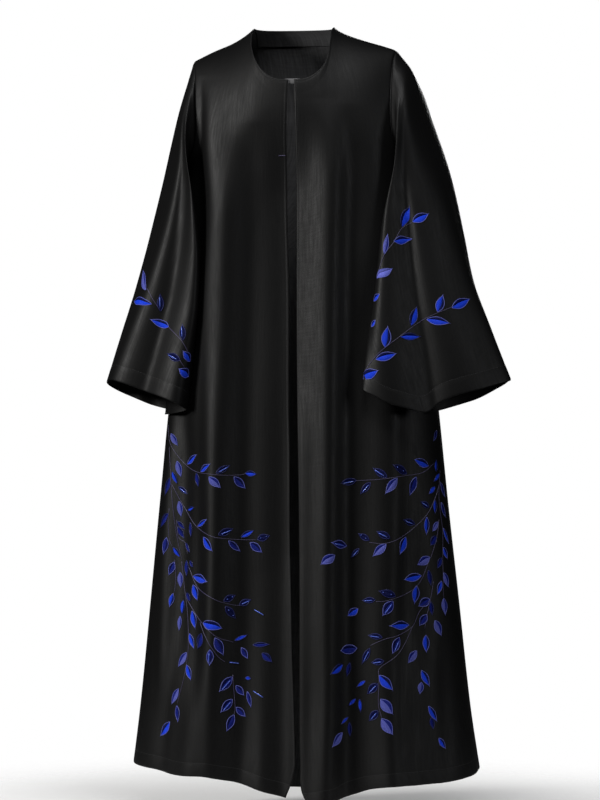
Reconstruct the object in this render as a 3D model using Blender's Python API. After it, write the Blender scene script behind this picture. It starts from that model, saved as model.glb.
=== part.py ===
"""Abaya cloak: an open fronted cloak with wide sleeves, filled out as if worn, with nobody in it.

Millimetres are used in the tables and turned into metres when a mesh is made.
+Z is up, the front faces -Y and +X is the viewer's right.
The origin is midway between the two high shoulder points.
"""
import bpy
import numpy as np

COLLECTION = "abaya_cloak"
MM = 0.001
WALL = 2.0
SEAM_GAP = 0.3
FACING_WALL = 1.2
TAB_WALL = 1.5
DARK_CLOTH = (0.012, 0.012, 0.014, 1.0)

# Body rings: depth below the origin, centre, half width, front depth, back depth
BODY_RINGS = (
    (-60, 0, 203, 112, 104),
    (60, 2, 203, 116, 107),
    (250, 6, 204, 120, 112),
    (500, 13, 228, 128, 124),
    (708, 17.5, 250, 140, 140),
    (871, 18.0, 266, 149, 152),
    (1055, 19.4, 285, 160, 164),
    (1240, 20.5, 304, 174, 178),
    (1354, 22, 319, 184, 188),
    (1440, 23, 330, 190, 194),
)
RING_POWER = 2.3

# Shoulder ridge: sideways place, height
RIDGE = (
    (-240, -84), (-186, -60), (-170, -52), (-146, -41), (-114, -28), (-90, -14), (-75, -2),
    (-58, 17), (-40, 31), (-20, 41), (0, 45), (20, 41), (40, 31), (58, 17), (75, 0),
    (90, -10), (109, -18), (140, -28), (171, -37), (190, -44), (240, -66),
)
SHOULDER_ROUND = 200.0

NECK_HALF_WIDTH = 74.0
NECK_DEPTH = 105.0
NECK_POWER = 2.6
NECK_CENTRE = 7.0
BACK_NECK_RISE = 3.0
SHOULDER_END = {-1: 186.0, 1: 190.0}
SIDE_HEM = {-1: 1354.0, 1: 1361.0}

# Armhole: depth below the shoulder end, front angle and back angle round the ring
ARMHOLE = (
    (0, 66, 66), (12, 64.5, 64.5), (26, 63, 63), (43, 62, 62), (62, 61.3, 61),
    (82, 60.8, 60.5), (102, 60.4, 60), (121, 60.2, 60), (139, 60.6, 60.5), (155, 62, 62),
    (169, 64.8, 65), (180, 69.5, 70), (187, 76, 76.5), (191, 83, 83), (192, 90, 90),
)

ROWS_BELOW = 20
ROW_SPREAD = 1.39
NECK_COLUMNS = 8
BACK_NECK_COLUMNS = 7
SHOULDER_COLUMNS = 7
FACING_ROWS = 2
TAB_ROWS = (0.05, 0.8)

# Front edges: depth, viewer's left edge, viewer's right edge
FRONT_EDGES = (
    (100, 3, 14), (170, 1, 16), (210, 0, 17), (317, 0, 18), (500, 4.6, 18.4), (686, 6, 20.8),
    (780, 8.3, 23.2), (917, 9.6, 26.3), (1055, 14, 28.7), (1147, 16.6, 29.6),
    (1221, 20.5, 30.6), (1295, 23.6, 31.8), (1340, 24.7, 34), (1365, 19.7, 34.3),
    (1383, 13, 36.5), (1400, 6, 44), (1412, 3, 52),
)

# Hem depth from the front edge or back centre (0) to the side seam (1)
HEM_RIGHT_FRONT = ((0, 1399), (0.06, 1390), (0.12, 1381), (0.20, 1371), (0.30, 1363), (0.42, 1364), (0.62, 1357),
                   (0.8, 1355), (1, 1354))
HEM_LEFT_FRONT = ((0, 1410), (0.08, 1402), (0.16, 1391), (0.22, 1382), (0.30, 1377), (0.55, 1375), (0.75, 1370),
                  (0.86, 1367), (1, 1361))
HEM_BACK = ((-1, 1354), (-0.8, 1366), (-0.55, 1382), (-0.3, 1399), (-0.1, 1420), (0, 1425), (0.1, 1420),
            (0.3, 1406), (0.55, 1388), (0.8, 1372), (1, 1361))

# Soft folds: half width, then rows of depth, sideways place and height
FRONT_FOLDS = (
    (30, ((100, -158, 0), (200, -150, 6), (320, -138, 12), (520, -146, 14), (760, -140, 14), (1000, -135, 11),
          (1200, -145, 10), (1420, -165, 12))),
    (20, ((90, -178, 0), (150, -174, -8), (320, -172, -16), (520, -182, -14), (700, -200, -8), (900, -205, -9),
          (1200, -225, -8), (1420, -240, -6))),
    (34, ((180, -62, 0), (260, -66, -8), (500, -72, -13), (900, -74, -15), (1200, -72, -16), (1420, -85, -18))),
    (26, ((1000, -40, 0), (1200, -40, 5), (1420, -34, 10))),
    (34, ((140, 60, 0), (280, 66, 7), (500, 68, 9), (900, 72, 11), (1200, 70, 14), (1420, 62, 20))),
    (26, ((150, 115, 0), (260, 118, -8), (500, 112, -12), (900, 112, -14), (1200, 118, -14), (1420, 120, -16))),
    (28, ((620, 165, 0), (760, 172, 8), (1100, 172, 9), (1300, 190, 9), (1420, 200, 12))),
    (22, ((800, 225, 0), (1000, 232, -6), (1420, 262, -9))),
)
BACK_FOLDS = (
    (34, ((200, -95, 0), (500, -92, 9), (900, -100, 13), (1420, -120, 18))),
    (30, ((300, -35, 0), (600, -38, -9), (1000, -42, -14), (1420, -50, -20))),
    (34, ((250, 28, 0), (600, 25, 9), (1000, 22, 13), (1420, 18, 19))),
    (30, ((300, 88, 0), (600, 88, -9), (1000, 92, -13), (1420, 98, -18))),
    (30, ((250, 140, 0), (600, 150, 8), (1000, 160, 11), (1420, 178, 15))),
    (24, ((350, -155, 0), (700, -165, -7), (1420, -195, -12))),
)
FOLDS_END_AT_SIDE = 14.0

# Sleeve sections: share of the way, centre, half vector to the outer edge, half vector to the front
SLEEVE_RIGHT = (
    (0.00, -192, 0, -156, 6, 0, 96, 6, -60, 0),
    (0.10, -199, 1, -182, 2, 0, 88, 10, -74, 0),
    (0.25, -208, 1, -236, -9, 0, 74, 20, -90, 2),
    (0.40, -212, 0, -316, -25, 4, 55, 32, -98, 4),
    (0.55, -219, -2, -405, -44, 10, 42, 36, -103, 6),
    (0.70, -231, -6, -500, -62, 16, 34, 34, -103, 8),
    (0.85, -249, -11, -595, -77, 24, 29, 26, -101, 8),
    (1.00, -266, -16, -683, -88, 32, 26, 16, -98, 6),
)
SLEEVE_LEFT = (
    (0.00, 197, 0, -141, -7, 0, 97, -8, -60, 0),
    (0.10, 214, -1, -172, 7, 0, 86, -14, -74, 0),
    (0.25, 224, -6, -227, 18, 2, 72, -22, -84, 0),
    (0.40, 230, -20, -320, 50, 14, 48, -28, -80, 0),
    (0.55, 237, -42, -412, 70, 26, 38, -24, -66, -2),
    (0.70, 243, -62, -500, 88, 34, 32, -14, -54, -4),
    (0.85, 256, -80, -590, 110, 40, 22, -2, -43, -5),
    (1.00, 271, -95, -683, 130, 42, 10, 8, -33, -6),
)
SLEEVE_SETTLE = 0.22
SLEEVE_ROWS = 22
SLEEVE_CLEAR = 5.5

# Cuff line: angle round the sleeve, lift over the plain section
CUFF_RIGHT = ((0, 3), (60, 6), (90, 4), (120, 0), (150, -3), (180, -3), (240, -4), (270, -6), (300, -3), (360, 3))
CUFF_LEFT = (
    (0, 25), (30, 24), (60, 17), (75, 10), (90, -6), (105, -20), (120, -6), (135, 7), (150, 17), (180, 25),
    (210, 13), (240, -9), (270, -28), (300, -16), (330, 7), (360, 25),
)
CUFF_FROM = 0.55

# Sleeve folds: half width in degrees, then rows of share of the way, angle round and height
FOLDS_SLEEVE_RIGHT = (
    (16, ((0.05, 66, 0), (0.2, 80, 7), (0.6, 108, 9), (1, 120, 8))),
    (16, ((0.15, 44, 0), (0.4, 62, -7), (0.7, 74, -10), (1, 80, -10))),
    (18, ((0.2, 20, 0), (0.6, 34, 5), (1, 38, 8))),
    (18, ((0.2, 300, 0), (0.6, 290, -8), (1, 285, -12))),
)
FOLDS_SLEEVE_LEFT = (
    (15, ((0.02, 60, 0), (0.15, 96, 9), (0.5, 118, 8), (1, 128, 6))),
    (15, ((0.12, 60, 0), (0.3, 78, -8), (0.6, 92, -12), (1, 104, -16))),
    (18, ((0.2, 36, 0), (0.5, 52, 5), (1, 62, 8))),
    (18, ((0.2, 300, 0), (0.6, 280, -6), (1, 270, -10))),
)


def smooth(table, x, column=1):
    """Read a column of a table at x along a smooth curve that never overshoots."""
    rows = np.asarray(table, dtype=float)
    xs, ys = rows[:, 0], rows[:, column]
    step = np.diff(xs)
    slope = np.diff(ys) / step
    tangent = np.zeros(len(xs))
    tangent[0], tangent[-1] = slope[0], slope[-1]
    for i in range(1, len(xs) - 1):
        if slope[i - 1] * slope[i] > 0:
            tangent[i] = 2 * slope[i - 1] * slope[i] / (slope[i - 1] + slope[i])
    x = np.clip(np.asarray(x, dtype=float), xs[0], xs[-1])
    i = np.clip(np.searchsorted(xs, x, side="right") - 1, 0, len(xs) - 2)
    h = step[i]
    s = (x - xs[i]) / h
    return (ys[i] * (1 + 2 * s) * (1 - s) ** 2 + ys[i + 1] * s * s * (3 - 2 * s)
            + tangent[i] * h * s * (1 - s) ** 2 - tangent[i + 1] * h * s * s * (1 - s))


def ease(x):
    """Go from 0 to 1 with flat ends."""
    x = np.clip(x, 0, 1)
    return x * x * (3 - 2 * x)


def unit(v):
    """Scale vectors to length one."""
    return v / np.maximum(np.linalg.norm(v, axis=-1, keepdims=True), 1e-9)


def ring_at(depth):
    """Centre, half width, front depth and back depth of the body at a depth."""
    return [smooth(BODY_RINGS, depth, c) for c in (1, 2, 3, 4)]


def angle_of(x, depth):
    """Angle round the ring, in radians, of a sideways place."""
    centre, half, _, _ = ring_at(depth)
    share = np.clip((x - centre) / half, -1, 1)
    return np.sign(share) * np.arcsin(np.abs(share) ** (RING_POWER / 2))


def fold_height(folds, across, along):
    """Sum of soft ridges and troughs at a place."""
    total = np.zeros(np.broadcast(across, along).shape)
    for width, rows in folds:
        place = smooth(rows, along, 1)
        total = total + smooth(rows, along, 2) * np.exp(-((across - place) / width) ** 2)
    return total


def shoulder_share(x, depth):
    """Share of the full depth reached as the cloth turns over the shoulder ridge."""
    rise = np.clip((smooth(RIDGE, x) + depth) / SHOULDER_ROUND, 0, 1)
    return np.sqrt(1 - (1 - rise) ** 2)


def body_point(angle, depth, face, hold=None):
    """Point on the body cloth: angle round the ring, depth, face -1 for front and 1 for back."""
    centre, half, front, back = ring_at(depth)
    across = np.sign(angle) * np.abs(np.sin(angle)) ** (2 / RING_POWER)
    deep = np.abs(np.cos(angle)) ** (2 / RING_POWER)
    x = centre + half * across
    reach = front if face < 0 else back
    y = face * reach * deep * shoulder_share(x, depth)
    out = unit(np.stack([across / half, face * deep / reach], axis=-1))
    height = fold_height(FRONT_FOLDS if face < 0 else BACK_FOLDS, x, depth)
    if hold is not None:
        height = height * hold
    return np.stack([x + out[..., 0] * height, y + out[..., 1] * height, -depth + 0 * x], axis=-1)


def row_shares():
    """Share of the way from shoulder to hem at each row."""
    reach = SIDE_HEM[-1] + smooth(RIDGE, -SHOULDER_END[-1])
    upper = np.array([row[0] for row in ARMHOLE]) / reach
    lower = upper[-1] + (1 - upper[-1]) * np.linspace(0, 1, ROWS_BELOW + 1)[1:]
    return np.concatenate([upper, lower])


def share_grid(u):
    """Row shares across a panel: bunched at the underarm on the side edge, even in the middle."""
    side = row_shares()[:, None]
    even = np.linspace(0, 1, len(side))[:, None] ** ROW_SPREAD
    return side + (even - side) * (1 - np.abs(u) ** 3)


def side_angles(side, face):
    """Angle of the side edge at each row: armhole first, then the side seam."""
    column = 1 if face < 0 else 2
    upper = [np.radians(row[column]) for row in ARMHOLE]
    end = SHOULDER_END[side] * side
    upper[0] = abs(angle_of(end, -smooth(RIDGE, end)))
    return side * np.array(upper + [np.pi / 2] * ROWS_BELOW)


def shoulder_places(side, count):
    """Sideways places along one shoulder seam, from the neck out."""
    return side * np.linspace(NECK_HALF_WIDTH, SHOULDER_END[side], count + 1)


def front_top(side):
    """Sideways place and depth along the top edge of a front panel, from its front edge out."""
    edge = smooth(FRONT_EDGES, NECK_DEPTH, 1 if side < 0 else 2)
    start = np.arcsin((abs(edge - NECK_CENTRE) / NECK_HALF_WIDTH) ** (NECK_POWER / 2))
    turn = start + (np.pi / 2 - start) * np.linspace(0, 1, NECK_COLUMNS + 1)[:-1]
    depth = NECK_DEPTH * np.cos(turn) ** (2 / NECK_POWER)
    x = side * NECK_HALF_WIDTH * np.sin(turn) ** (2 / NECK_POWER)
    x = x + NECK_CENTRE * ease(depth / NECK_DEPTH)
    shoulder = shoulder_places(side, SHOULDER_COLUMNS)
    return np.concatenate([x, shoulder]), np.concatenate([depth, -smooth(RIDGE, shoulder)])


def back_top():
    """Sideways place and depth along the top edge of the back panel, viewer's left to right."""
    turn = np.linspace(-1, 1, 2 * BACK_NECK_COLUMNS + 1)[1:-1] * np.pi / 2
    x = NECK_HALF_WIDTH * np.sin(turn)
    depth = -BACK_NECK_RISE * np.cos(turn) ** 2
    left = shoulder_places(-1, SHOULDER_COLUMNS)[::-1]
    right = shoulder_places(1, SHOULDER_COLUMNS)
    return (np.concatenate([left, x, right]),
            np.concatenate([-smooth(RIDGE, left), depth, -smooth(RIDGE, right)]))


def settle(share):
    """How much of the top edge's spacing a row keeps."""
    return np.clip(1 - share / 0.35, 0, 1) ** 2


def front_grid(side):
    """Outer points of a front panel, rows from shoulder to hem and columns from its edge out."""
    top_x, top_depth = front_top(side)
    columns = len(top_x)
    u = np.linspace(0, 1, columns)
    hem = smooth(HEM_RIGHT_FRONT if side < 0 else HEM_LEFT_FRONT, u)
    share = share_grid(u)
    depth = top_depth + (hem - top_depth) * share
    edge = angle_of(smooth(FRONT_EDGES, depth[:, :1], 1 if side < 0 else 2), depth[:, :1])
    last = side_angles(side, -1)[:, None]
    top_angle = angle_of(top_x, top_depth)
    top_share = (top_angle - edge[0]) / (last[0] - edge[0])
    spread = u + (top_share - u) * settle(share)
    angle = edge + (last - edge) * spread
    hold = ease((1 - spread) * 90 / FOLDS_END_AT_SIDE)
    return body_point(angle, depth, -1, hold)


def back_grid():
    """Outer points of the back panel, rows from shoulder to hem, columns viewer's left to right."""
    top_x, top_depth = back_top()
    columns = len(top_x)
    u = np.linspace(-1, 1, columns)
    hem = smooth(HEM_BACK, u)
    share = share_grid(u)
    depth = top_depth + (hem - top_depth) * share
    right = side_angles(1, 1)[:, None]
    top_angle = angle_of(top_x, top_depth)
    limit = np.where(u < 0, abs(top_angle[0]), abs(top_angle[-1]))
    top_share = top_angle / limit
    spread = u + (top_share - u) * settle(share)
    limits = right + (limit - right[0]) * np.clip(1 - share / 0.02, 0, 1)
    hold = ease((1 - np.abs(spread)) * 90 / FOLDS_END_AT_SIDE)
    return body_point(spread * limits, depth, 1, hold)


def clear_of_body(points, margin):
    """Push points that lie inside the body, or nearer than the margin, straight out of it."""
    x, y, depth = points[..., 0], points[..., 1], -points[..., 2]
    centre, half, front, back = ring_at(depth)
    reach = np.where(y < 0, front, back)
    reach = reach * np.maximum(shoulder_share(x, depth), 0.05)
    size = (np.abs((x - centre) / half) ** RING_POWER + np.abs(y / reach) ** RING_POWER) ** (1 / RING_POWER)
    height = np.where(y < 0, fold_height(FRONT_FOLDS, x, depth), fold_height(BACK_FOLDS, x, depth))
    angle = np.abs(np.arctan2(np.abs(x - centre) / half, np.abs(y) / reach))
    height = np.maximum(height, 0) * ease((np.pi / 2 - angle) * 180 / np.pi / FOLDS_END_AT_SIDE)
    span = np.hypot(x - centre, y)
    wanted = span / np.maximum(size, 1e-6) + height + margin
    grow = 1 + (np.maximum(wanted / np.maximum(span, 1e-6), 1) - 1) * ease((depth - 150) / 60)
    moved = points.copy()
    moved[..., 0] = centre + (x - centre) * grow
    moved[..., 1] = y * grow
    return moved


def sleeve_vectors(side, share):
    """Centre and the two half vectors of a sleeve section."""
    table = SLEEVE_RIGHT if side < 0 else SLEEVE_LEFT
    read = [smooth(table, share, c) for c in range(1, 10)]
    return [np.stack(read[i:i + 3], axis=-1) for i in (0, 3, 6)]


def sleeve_section(side, share, turn):
    """Points of the sleeve tube before it is joined to the armhole."""
    centre, outer, front = sleeve_vectors(side, share)
    folds = FOLDS_SLEEVE_RIGHT if side < 0 else FOLDS_SLEEVE_LEFT
    height = fold_height(folds, np.degrees(turn), share)
    ring = np.cos(turn)[..., None] * outer + np.sin(turn)[..., None] * front
    points = centre + ring + unit(ring) * height[..., None]
    lift = smooth(CUFF_RIGHT if side < 0 else CUFF_LEFT, np.degrees(turn))
    points[..., 2] += lift * np.clip((share - CUFF_FROM) / (1 - CUFF_FROM), 0, 1) ** 2
    return points


def armhole_ring(side):
    """Armhole loop from the shoulder end, down the front, under the arm and up the back."""
    end = SHOULDER_END[side] * side
    top = -smooth(RIDGE, end)
    reach = (SIDE_HEM[side] - top)
    depth = top + reach * row_shares()[:len(ARMHOLE)]
    hold = np.zeros(len(ARMHOLE))
    front = body_point(side_angles(side, -1)[:len(ARMHOLE)], depth, -1, hold)
    back = body_point(side_angles(side, 1)[:len(ARMHOLE)], depth, 1, hold)
    return np.concatenate([front, back[-2:0:-1]])


def sleeve_grid(side):
    """Outer points of a sleeve, rows from armhole to cuff, columns round the tube."""
    armhole = armhole_ring(side)
    count = len(armhole)
    turn = np.linspace(0, 2 * np.pi, count + 1)[:-1][None, :]
    share = np.linspace(0, 1, SLEEVE_ROWS + 1)[:, None] ** 1.05
    tube = sleeve_section(side, share + 0 * turn, turn + 0 * share)
    pull = np.clip(1 - share / SLEEVE_SETTLE, 0, 1)[..., None] ** 2
    grid = tube + (armhole - tube[0]) * pull
    grid = clear_of_body(grid, SLEEVE_CLEAR * (0.6 + 0.4 * ease(share / 0.15)))
    grid[0] = armhole
    return grid


def inward(grid, wrap, core):
    """Unit directions into the cloth's hollow side, from the grid's own slopes."""
    if wrap:
        around = np.roll(grid, -1, axis=1) - np.roll(grid, 1, axis=1)
    else:
        around = np.gradient(grid, axis=1)
    down = np.gradient(grid, axis=0)
    normal = unit(np.cross(around, down))
    facing = np.sum(normal * (core - grid), axis=-1, keepdims=True)
    return np.where(np.median(facing) < 0, -normal, normal)


def armhole_frames(side, body_in, sleeve_in, ring):
    """Shared rim direction and parting direction at each armhole point."""
    shared = unit(body_in + sleeve_in)
    for _ in range(3):
        shared = unit(shared * 2 + np.roll(shared, 1, axis=0) + np.roll(shared, -1, axis=0))
    along = unit(np.roll(ring, -1, axis=0) - np.roll(ring, 1, axis=0))
    shared = unit(shared - along * np.sum(shared * along, axis=-1, keepdims=True))
    part = unit(np.cross(along, shared))
    outward = np.sum(part[:, 0]) * side
    return shared, part if outward > 0 else -part


def make_mesh(name, vertices, faces, material):
    """Make one named object from millimetre points."""
    mesh = bpy.data.meshes.new(name)
    mesh.from_pydata([tuple(v * MM) for v in vertices], [], faces)
    mesh.update()
    mesh.materials.append(material)
    mesh.shade_smooth()
    item = bpy.data.objects.new(name, mesh)
    bpy.data.collections[COLLECTION].objects.link(item)
    return item


def shell_faces(rows, columns, wrap, flip):
    """Faces of a closed shell over two grids of points."""
    size = rows * columns
    last = columns if wrap else columns - 1
    faces = []
    for r in range(rows - 1):
        for c in range(last):
            a, b = r * columns + c, r * columns + (c + 1) % columns
            d, e = a + columns, b + columns
            faces.append((a, d, e, b))
            faces.append((size + a, size + b, size + e, size + d))
    for c in range(last):
        n = (c + 1) % columns
        top, end = 0, (rows - 1) * columns
        faces.append((top + c, top + n, size + top + n, size + top + c))
        faces.append((end + n, end + c, size + end + c, size + end + n))
    if not wrap:
        for r in range(rows - 1):
            a, d = r * columns, (r + 1) * columns
            faces.append((d, a, size + a, size + d))
            a, d = a + columns - 1, d + columns - 1
            faces.append((a, d, size + d, size + a))
    return [f[::-1] for f in faces] if flip else faces


def make_shell(name, outer, inner, wrap, flip, material):
    """Make a closed cloth shell between an outer and an inner grid."""
    rows, columns = outer.shape[:2]
    vertices = np.concatenate([outer.reshape(-1, 3), inner.reshape(-1, 3)])
    return make_mesh(name, vertices, shell_faces(rows, columns, wrap, flip), material)


def make_material(name):
    """Plain dark cloth."""
    material = bpy.data.materials.new(name)
    material.use_nodes = True
    shader = material.node_tree.nodes["Principled BSDF"]
    shader.inputs["Base Color"].default_value = DARK_CLOTH
    shader.inputs["Roughness"].default_value = 0.6
    return material


def panel_core(grid):
    """Middle line of the body at each point's height."""
    core = grid.copy()
    core[..., 0] = smooth(BODY_RINGS, -grid[..., 2], 1)
    core[..., 1] = 0
    core[..., 2] -= 60
    return core


def body_panels():
    """Outer and inner grids of the two fronts, the back and the two sleeves."""
    half = SEAM_GAP / 2
    arm = len(ARMHOLE)
    out = {-1: front_grid(-1), 1: front_grid(1), 0: back_grid()}
    ins = {key: inward(grid, False, panel_core(grid)) for key, grid in out.items()}
    sleeves = {}
    for side in (-1, 1):
        edge = -1
        back_edge = 0 if side < 0 else -1
        ring = armhole_ring(side)
        grid = sleeve_grid(side)
        core = grid.mean(axis=1, keepdims=True) + 0 * grid
        sleeve_in = inward(grid, True, core)
        body_in = np.concatenate([ins[side][:arm, edge], ins[0][arm - 2:0:-1, back_edge]])
        body_in[0] = (0, 0, -1)
        body_in[arm - 1] = (-side, 0, 0)
        shared, part = armhole_frames(side, body_in, sleeve_in[0], ring)
        grid[0] = ring + part * half
        sleeve_in[0] = shared * 1.2
        sleeves[side] = (grid, grid + sleeve_in * WALL)
        out[side][:arm, edge] = ring[:arm] - part[:arm] * half
        ins[side][:arm, edge] = shared[:arm] * 1.2
        back_ring = np.concatenate([ring[:1], ring[arm - 1:][::-1]])
        back_part = np.concatenate([part[:1], part[arm - 1:][::-1]])
        back_shared = np.concatenate([shared[:1], shared[arm - 1:][::-1]])
        out[0][:arm, back_edge] = back_ring - back_part * half
        ins[0][:arm, back_edge] = back_shared * 1.2
        ins[side][arm:, edge] = (-side, 0, 0)
        ins[0][arm:, back_edge] = (-side, 0, 0)
        out[side][:, edge, 1] -= half
        out[0][:, back_edge, 1] += half
    seam = SHOULDER_COLUMNS + 1
    for side in (-1, 1):
        ins[side][0, -seam:-1] = (0, 0, -1)
        out[side][0, -seam:-1, 1] -= half
    for part_of_back in (slice(1, seam), slice(-seam, -1)):
        ins[0][0, part_of_back] = (0, 0, -1)
        out[0][0, part_of_back, 1] += half
    panels = {key: (out[key], out[key] + ins[key] * WALL, ins[key]) for key in out}
    return panels, sleeves


def neck_facing(back_outer, back_in):
    """Band inside the back neck, made from the back's own points moved in."""
    first = SHOULDER_COLUMNS
    last = first + 2 * BACK_NECK_COLUMNS
    outer = back_outer[:FACING_ROWS + 1, first:last + 1]
    way = back_in[:FACING_ROWS + 1, first:last + 1]
    near = outer + way * (WALL + SEAM_GAP)
    return near, near + way * FACING_WALL


def neck_tab(panels):
    """Small tab behind the two front edges at the neck, made from the fronts' own points moved in."""
    ends = ((-1, 0.55), (-1, 0.0), (1, 0.0), (1, 1.0))
    rows = []
    for share in TAB_ROWS:
        row = []
        for side, reach in ends:
            outer, _, way = panels[side]
            inner = outer[:2, :2] + way[:2, :2] * (WALL + SEAM_GAP)
            edge = inner[:, 0] + (inner[:, 1] - inner[:, 0]) * reach
            row.append(edge[0] + (edge[1] - edge[0]) * share)
        rows.append(row)
    near = np.array(rows)
    way = np.zeros_like(near) + unit(panels[-1][2][0, 0] + panels[1][2][0, 0])
    return near, near + way * TAB_WALL


def main():
    """Build every piece of the cloak."""
    for item in list(bpy.data.objects):
        bpy.data.objects.remove(item)
    group = bpy.data.collections.new(COLLECTION)
    bpy.context.scene.collection.children.link(group)
    panels, sleeves = body_panels()
    make_shell("front_right", panels[-1][0], panels[-1][1], False, True, make_material("front_right"))
    make_shell("front_left", panels[1][0], panels[1][1], False, False, make_material("front_left"))
    make_shell("back", panels[0][0], panels[0][1], False, True, make_material("back"))
    make_shell("sleeve_right", *sleeves[-1], True, False, make_material("sleeve_right"))
    make_shell("sleeve_left", *sleeves[1], True, True, make_material("sleeve_left"))
    near, far = neck_facing(panels[0][0], panels[0][2])
    make_shell("neck_facing", near, far, False, True, make_material("neck_facing"))
    near, far = neck_tab(panels)
    make_shell("neck_tab", near, far, False, False, make_material("neck_tab"))


main()
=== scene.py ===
"""Looks of the abaya cloak: thin cloth shells on the form of the solids, with their creases, seams and
hems, the satin stitched leaves, and a plain studio stage.

Millimetres are used in the tables and turned into metres when a mesh is made.
"""
import functools
import math

import bpy
import numpy as np
from bpy.props import FloatProperty, FloatVectorProperty, PointerProperty
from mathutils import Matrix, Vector
from mathutils.bvhtree import BVHTree


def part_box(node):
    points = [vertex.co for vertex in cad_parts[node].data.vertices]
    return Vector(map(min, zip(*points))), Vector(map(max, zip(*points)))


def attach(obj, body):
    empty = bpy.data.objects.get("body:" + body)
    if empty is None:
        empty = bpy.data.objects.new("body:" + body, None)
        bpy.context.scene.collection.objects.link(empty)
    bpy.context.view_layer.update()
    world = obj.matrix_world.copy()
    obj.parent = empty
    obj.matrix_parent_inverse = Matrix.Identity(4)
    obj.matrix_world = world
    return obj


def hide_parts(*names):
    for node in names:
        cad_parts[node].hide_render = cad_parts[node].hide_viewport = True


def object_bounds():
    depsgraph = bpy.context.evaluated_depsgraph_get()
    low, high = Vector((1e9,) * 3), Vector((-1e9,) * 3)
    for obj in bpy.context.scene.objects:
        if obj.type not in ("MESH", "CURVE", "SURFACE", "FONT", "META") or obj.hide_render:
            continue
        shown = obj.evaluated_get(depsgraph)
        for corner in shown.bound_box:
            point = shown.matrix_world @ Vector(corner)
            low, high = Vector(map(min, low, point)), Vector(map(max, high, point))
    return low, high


bl_info = {
    "name": "Abaya cloak looks",
    "version": (1, 0, 0),
    "blender": (4, 5, 0),
    "location": "View3D > Sidebar > Abaya",
    "description": "Cloth, stitching, embroidered leaves and studio stage of an abaya cloak",
    "category": "Object",
}

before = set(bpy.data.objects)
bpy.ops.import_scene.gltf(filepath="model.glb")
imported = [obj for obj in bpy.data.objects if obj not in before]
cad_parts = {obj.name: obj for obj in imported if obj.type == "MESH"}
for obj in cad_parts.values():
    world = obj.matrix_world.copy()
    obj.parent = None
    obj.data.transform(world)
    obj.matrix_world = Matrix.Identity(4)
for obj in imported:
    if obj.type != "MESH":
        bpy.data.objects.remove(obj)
CAD_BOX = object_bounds()

MM = 0.001
BODY = "root"

# Body rings: depth below the origin, centre, half width, front depth, back depth
BODY_RINGS = (
    (-60, 0, 203, 112, 104),
    (60, 2, 203, 116, 107),
    (250, 6, 204, 120, 112),
    (500, 13, 228, 128, 124),
    (708, 17.5, 250, 140, 140),
    (871, 18.0, 266, 149, 152),
    (1055, 19.4, 285, 160, 164),
    (1240, 20.5, 304, 174, 178),
    (1354, 22, 319, 184, 188),
    (1440, 23, 330, 190, 194),
)
RING_POWER = 2.3

# Shoulder ridge: sideways place, height
RIDGE = (
    (-240, -84), (-186, -60), (-170, -52), (-146, -41), (-114, -28), (-90, -14), (-75, -2), (-58, 17),
    (-40, 31), (-20, 41), (0, 45), (20, 41), (40, 31), (58, 17), (75, 0), (90, -10), (109, -18),
    (140, -28), (171, -37), (190, -44), (240, -66),
)
SHOULDER_ROUND = 200.0

NECK_HALF_WIDTH = 74.0
NECK_DEPTH = 105.0
NECK_POWER = 2.6
NECK_CENTRE = 7.0
BACK_NECK_RISE = 3.0
SHOULDER_END = {-1: 186.0, 1: 190.0}
SIDE_HEM = {-1: 1354.0, 1: 1361.0}

# Armhole: depth below the shoulder end, front angle and back angle round the ring
ARMHOLE = (
    (0, 66, 66), (12, 64.5, 64.5), (26, 63, 63), (43, 62, 62), (62, 61.3, 61), (82, 60.8, 60.5),
    (102, 60.4, 60), (121, 60.2, 60), (139, 60.6, 60.5), (155, 62, 62), (169, 64.8, 65), (180, 69.5, 70),
    (187, 76, 76.5), (191, 83, 83), (192, 90, 90),
)
ARM_ROWS = len(ARMHOLE) - 1
ROWS_BELOW = 20
ROWS = ARM_ROWS + ROWS_BELOW
ROW_SPREAD = 1.39
NECK_COLUMNS = 8
BACK_NECK_COLUMNS = 7
SHOULDER_COLUMNS = 7
FRONT_COLUMNS = NECK_COLUMNS + SHOULDER_COLUMNS
BACK_COLUMNS = 2 * (SHOULDER_COLUMNS + BACK_NECK_COLUMNS)
FACING_ROWS = 2

# Front edges: depth, viewer's left edge, viewer's right edge
FRONT_EDGES = (
    (100, 3, 14), (170, 1, 16), (210, 0, 17), (317, 0, 18), (500, 4.6, 18.4), (686, 6, 20.8),
    (780, 8.3, 23.2), (917, 9.6, 26.3), (1055, 14, 28.7), (1147, 16.6, 29.6), (1221, 20.5, 30.6),
    (1295, 23.6, 31.8), (1340, 24.7, 34), (1365, 19.7, 34.3), (1383, 13, 36.5), (1400, 6, 44),
    (1412, 3, 52),
)

# Hem depth from the front edge or back centre (0) to the side seam (1)
HEM_RIGHT_FRONT = (
    (0, 1399), (0.06, 1390), (0.12, 1381), (0.2, 1371), (0.3, 1363), (0.42, 1364), (0.62, 1357),
    (0.8, 1355), (1, 1354),
)
HEM_LEFT_FRONT = (
    (0, 1410), (0.08, 1402), (0.16, 1391), (0.22, 1382), (0.3, 1377), (0.55, 1375), (0.75, 1370),
    (0.86, 1367), (1, 1361),
)
HEM_BACK = (
    (-1, 1354), (-0.8, 1366), (-0.55, 1382), (-0.3, 1399), (-0.1, 1420), (0, 1425), (0.1, 1420),
    (0.3, 1406), (0.55, 1388), (0.8, 1372), (1, 1361),
)

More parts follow.
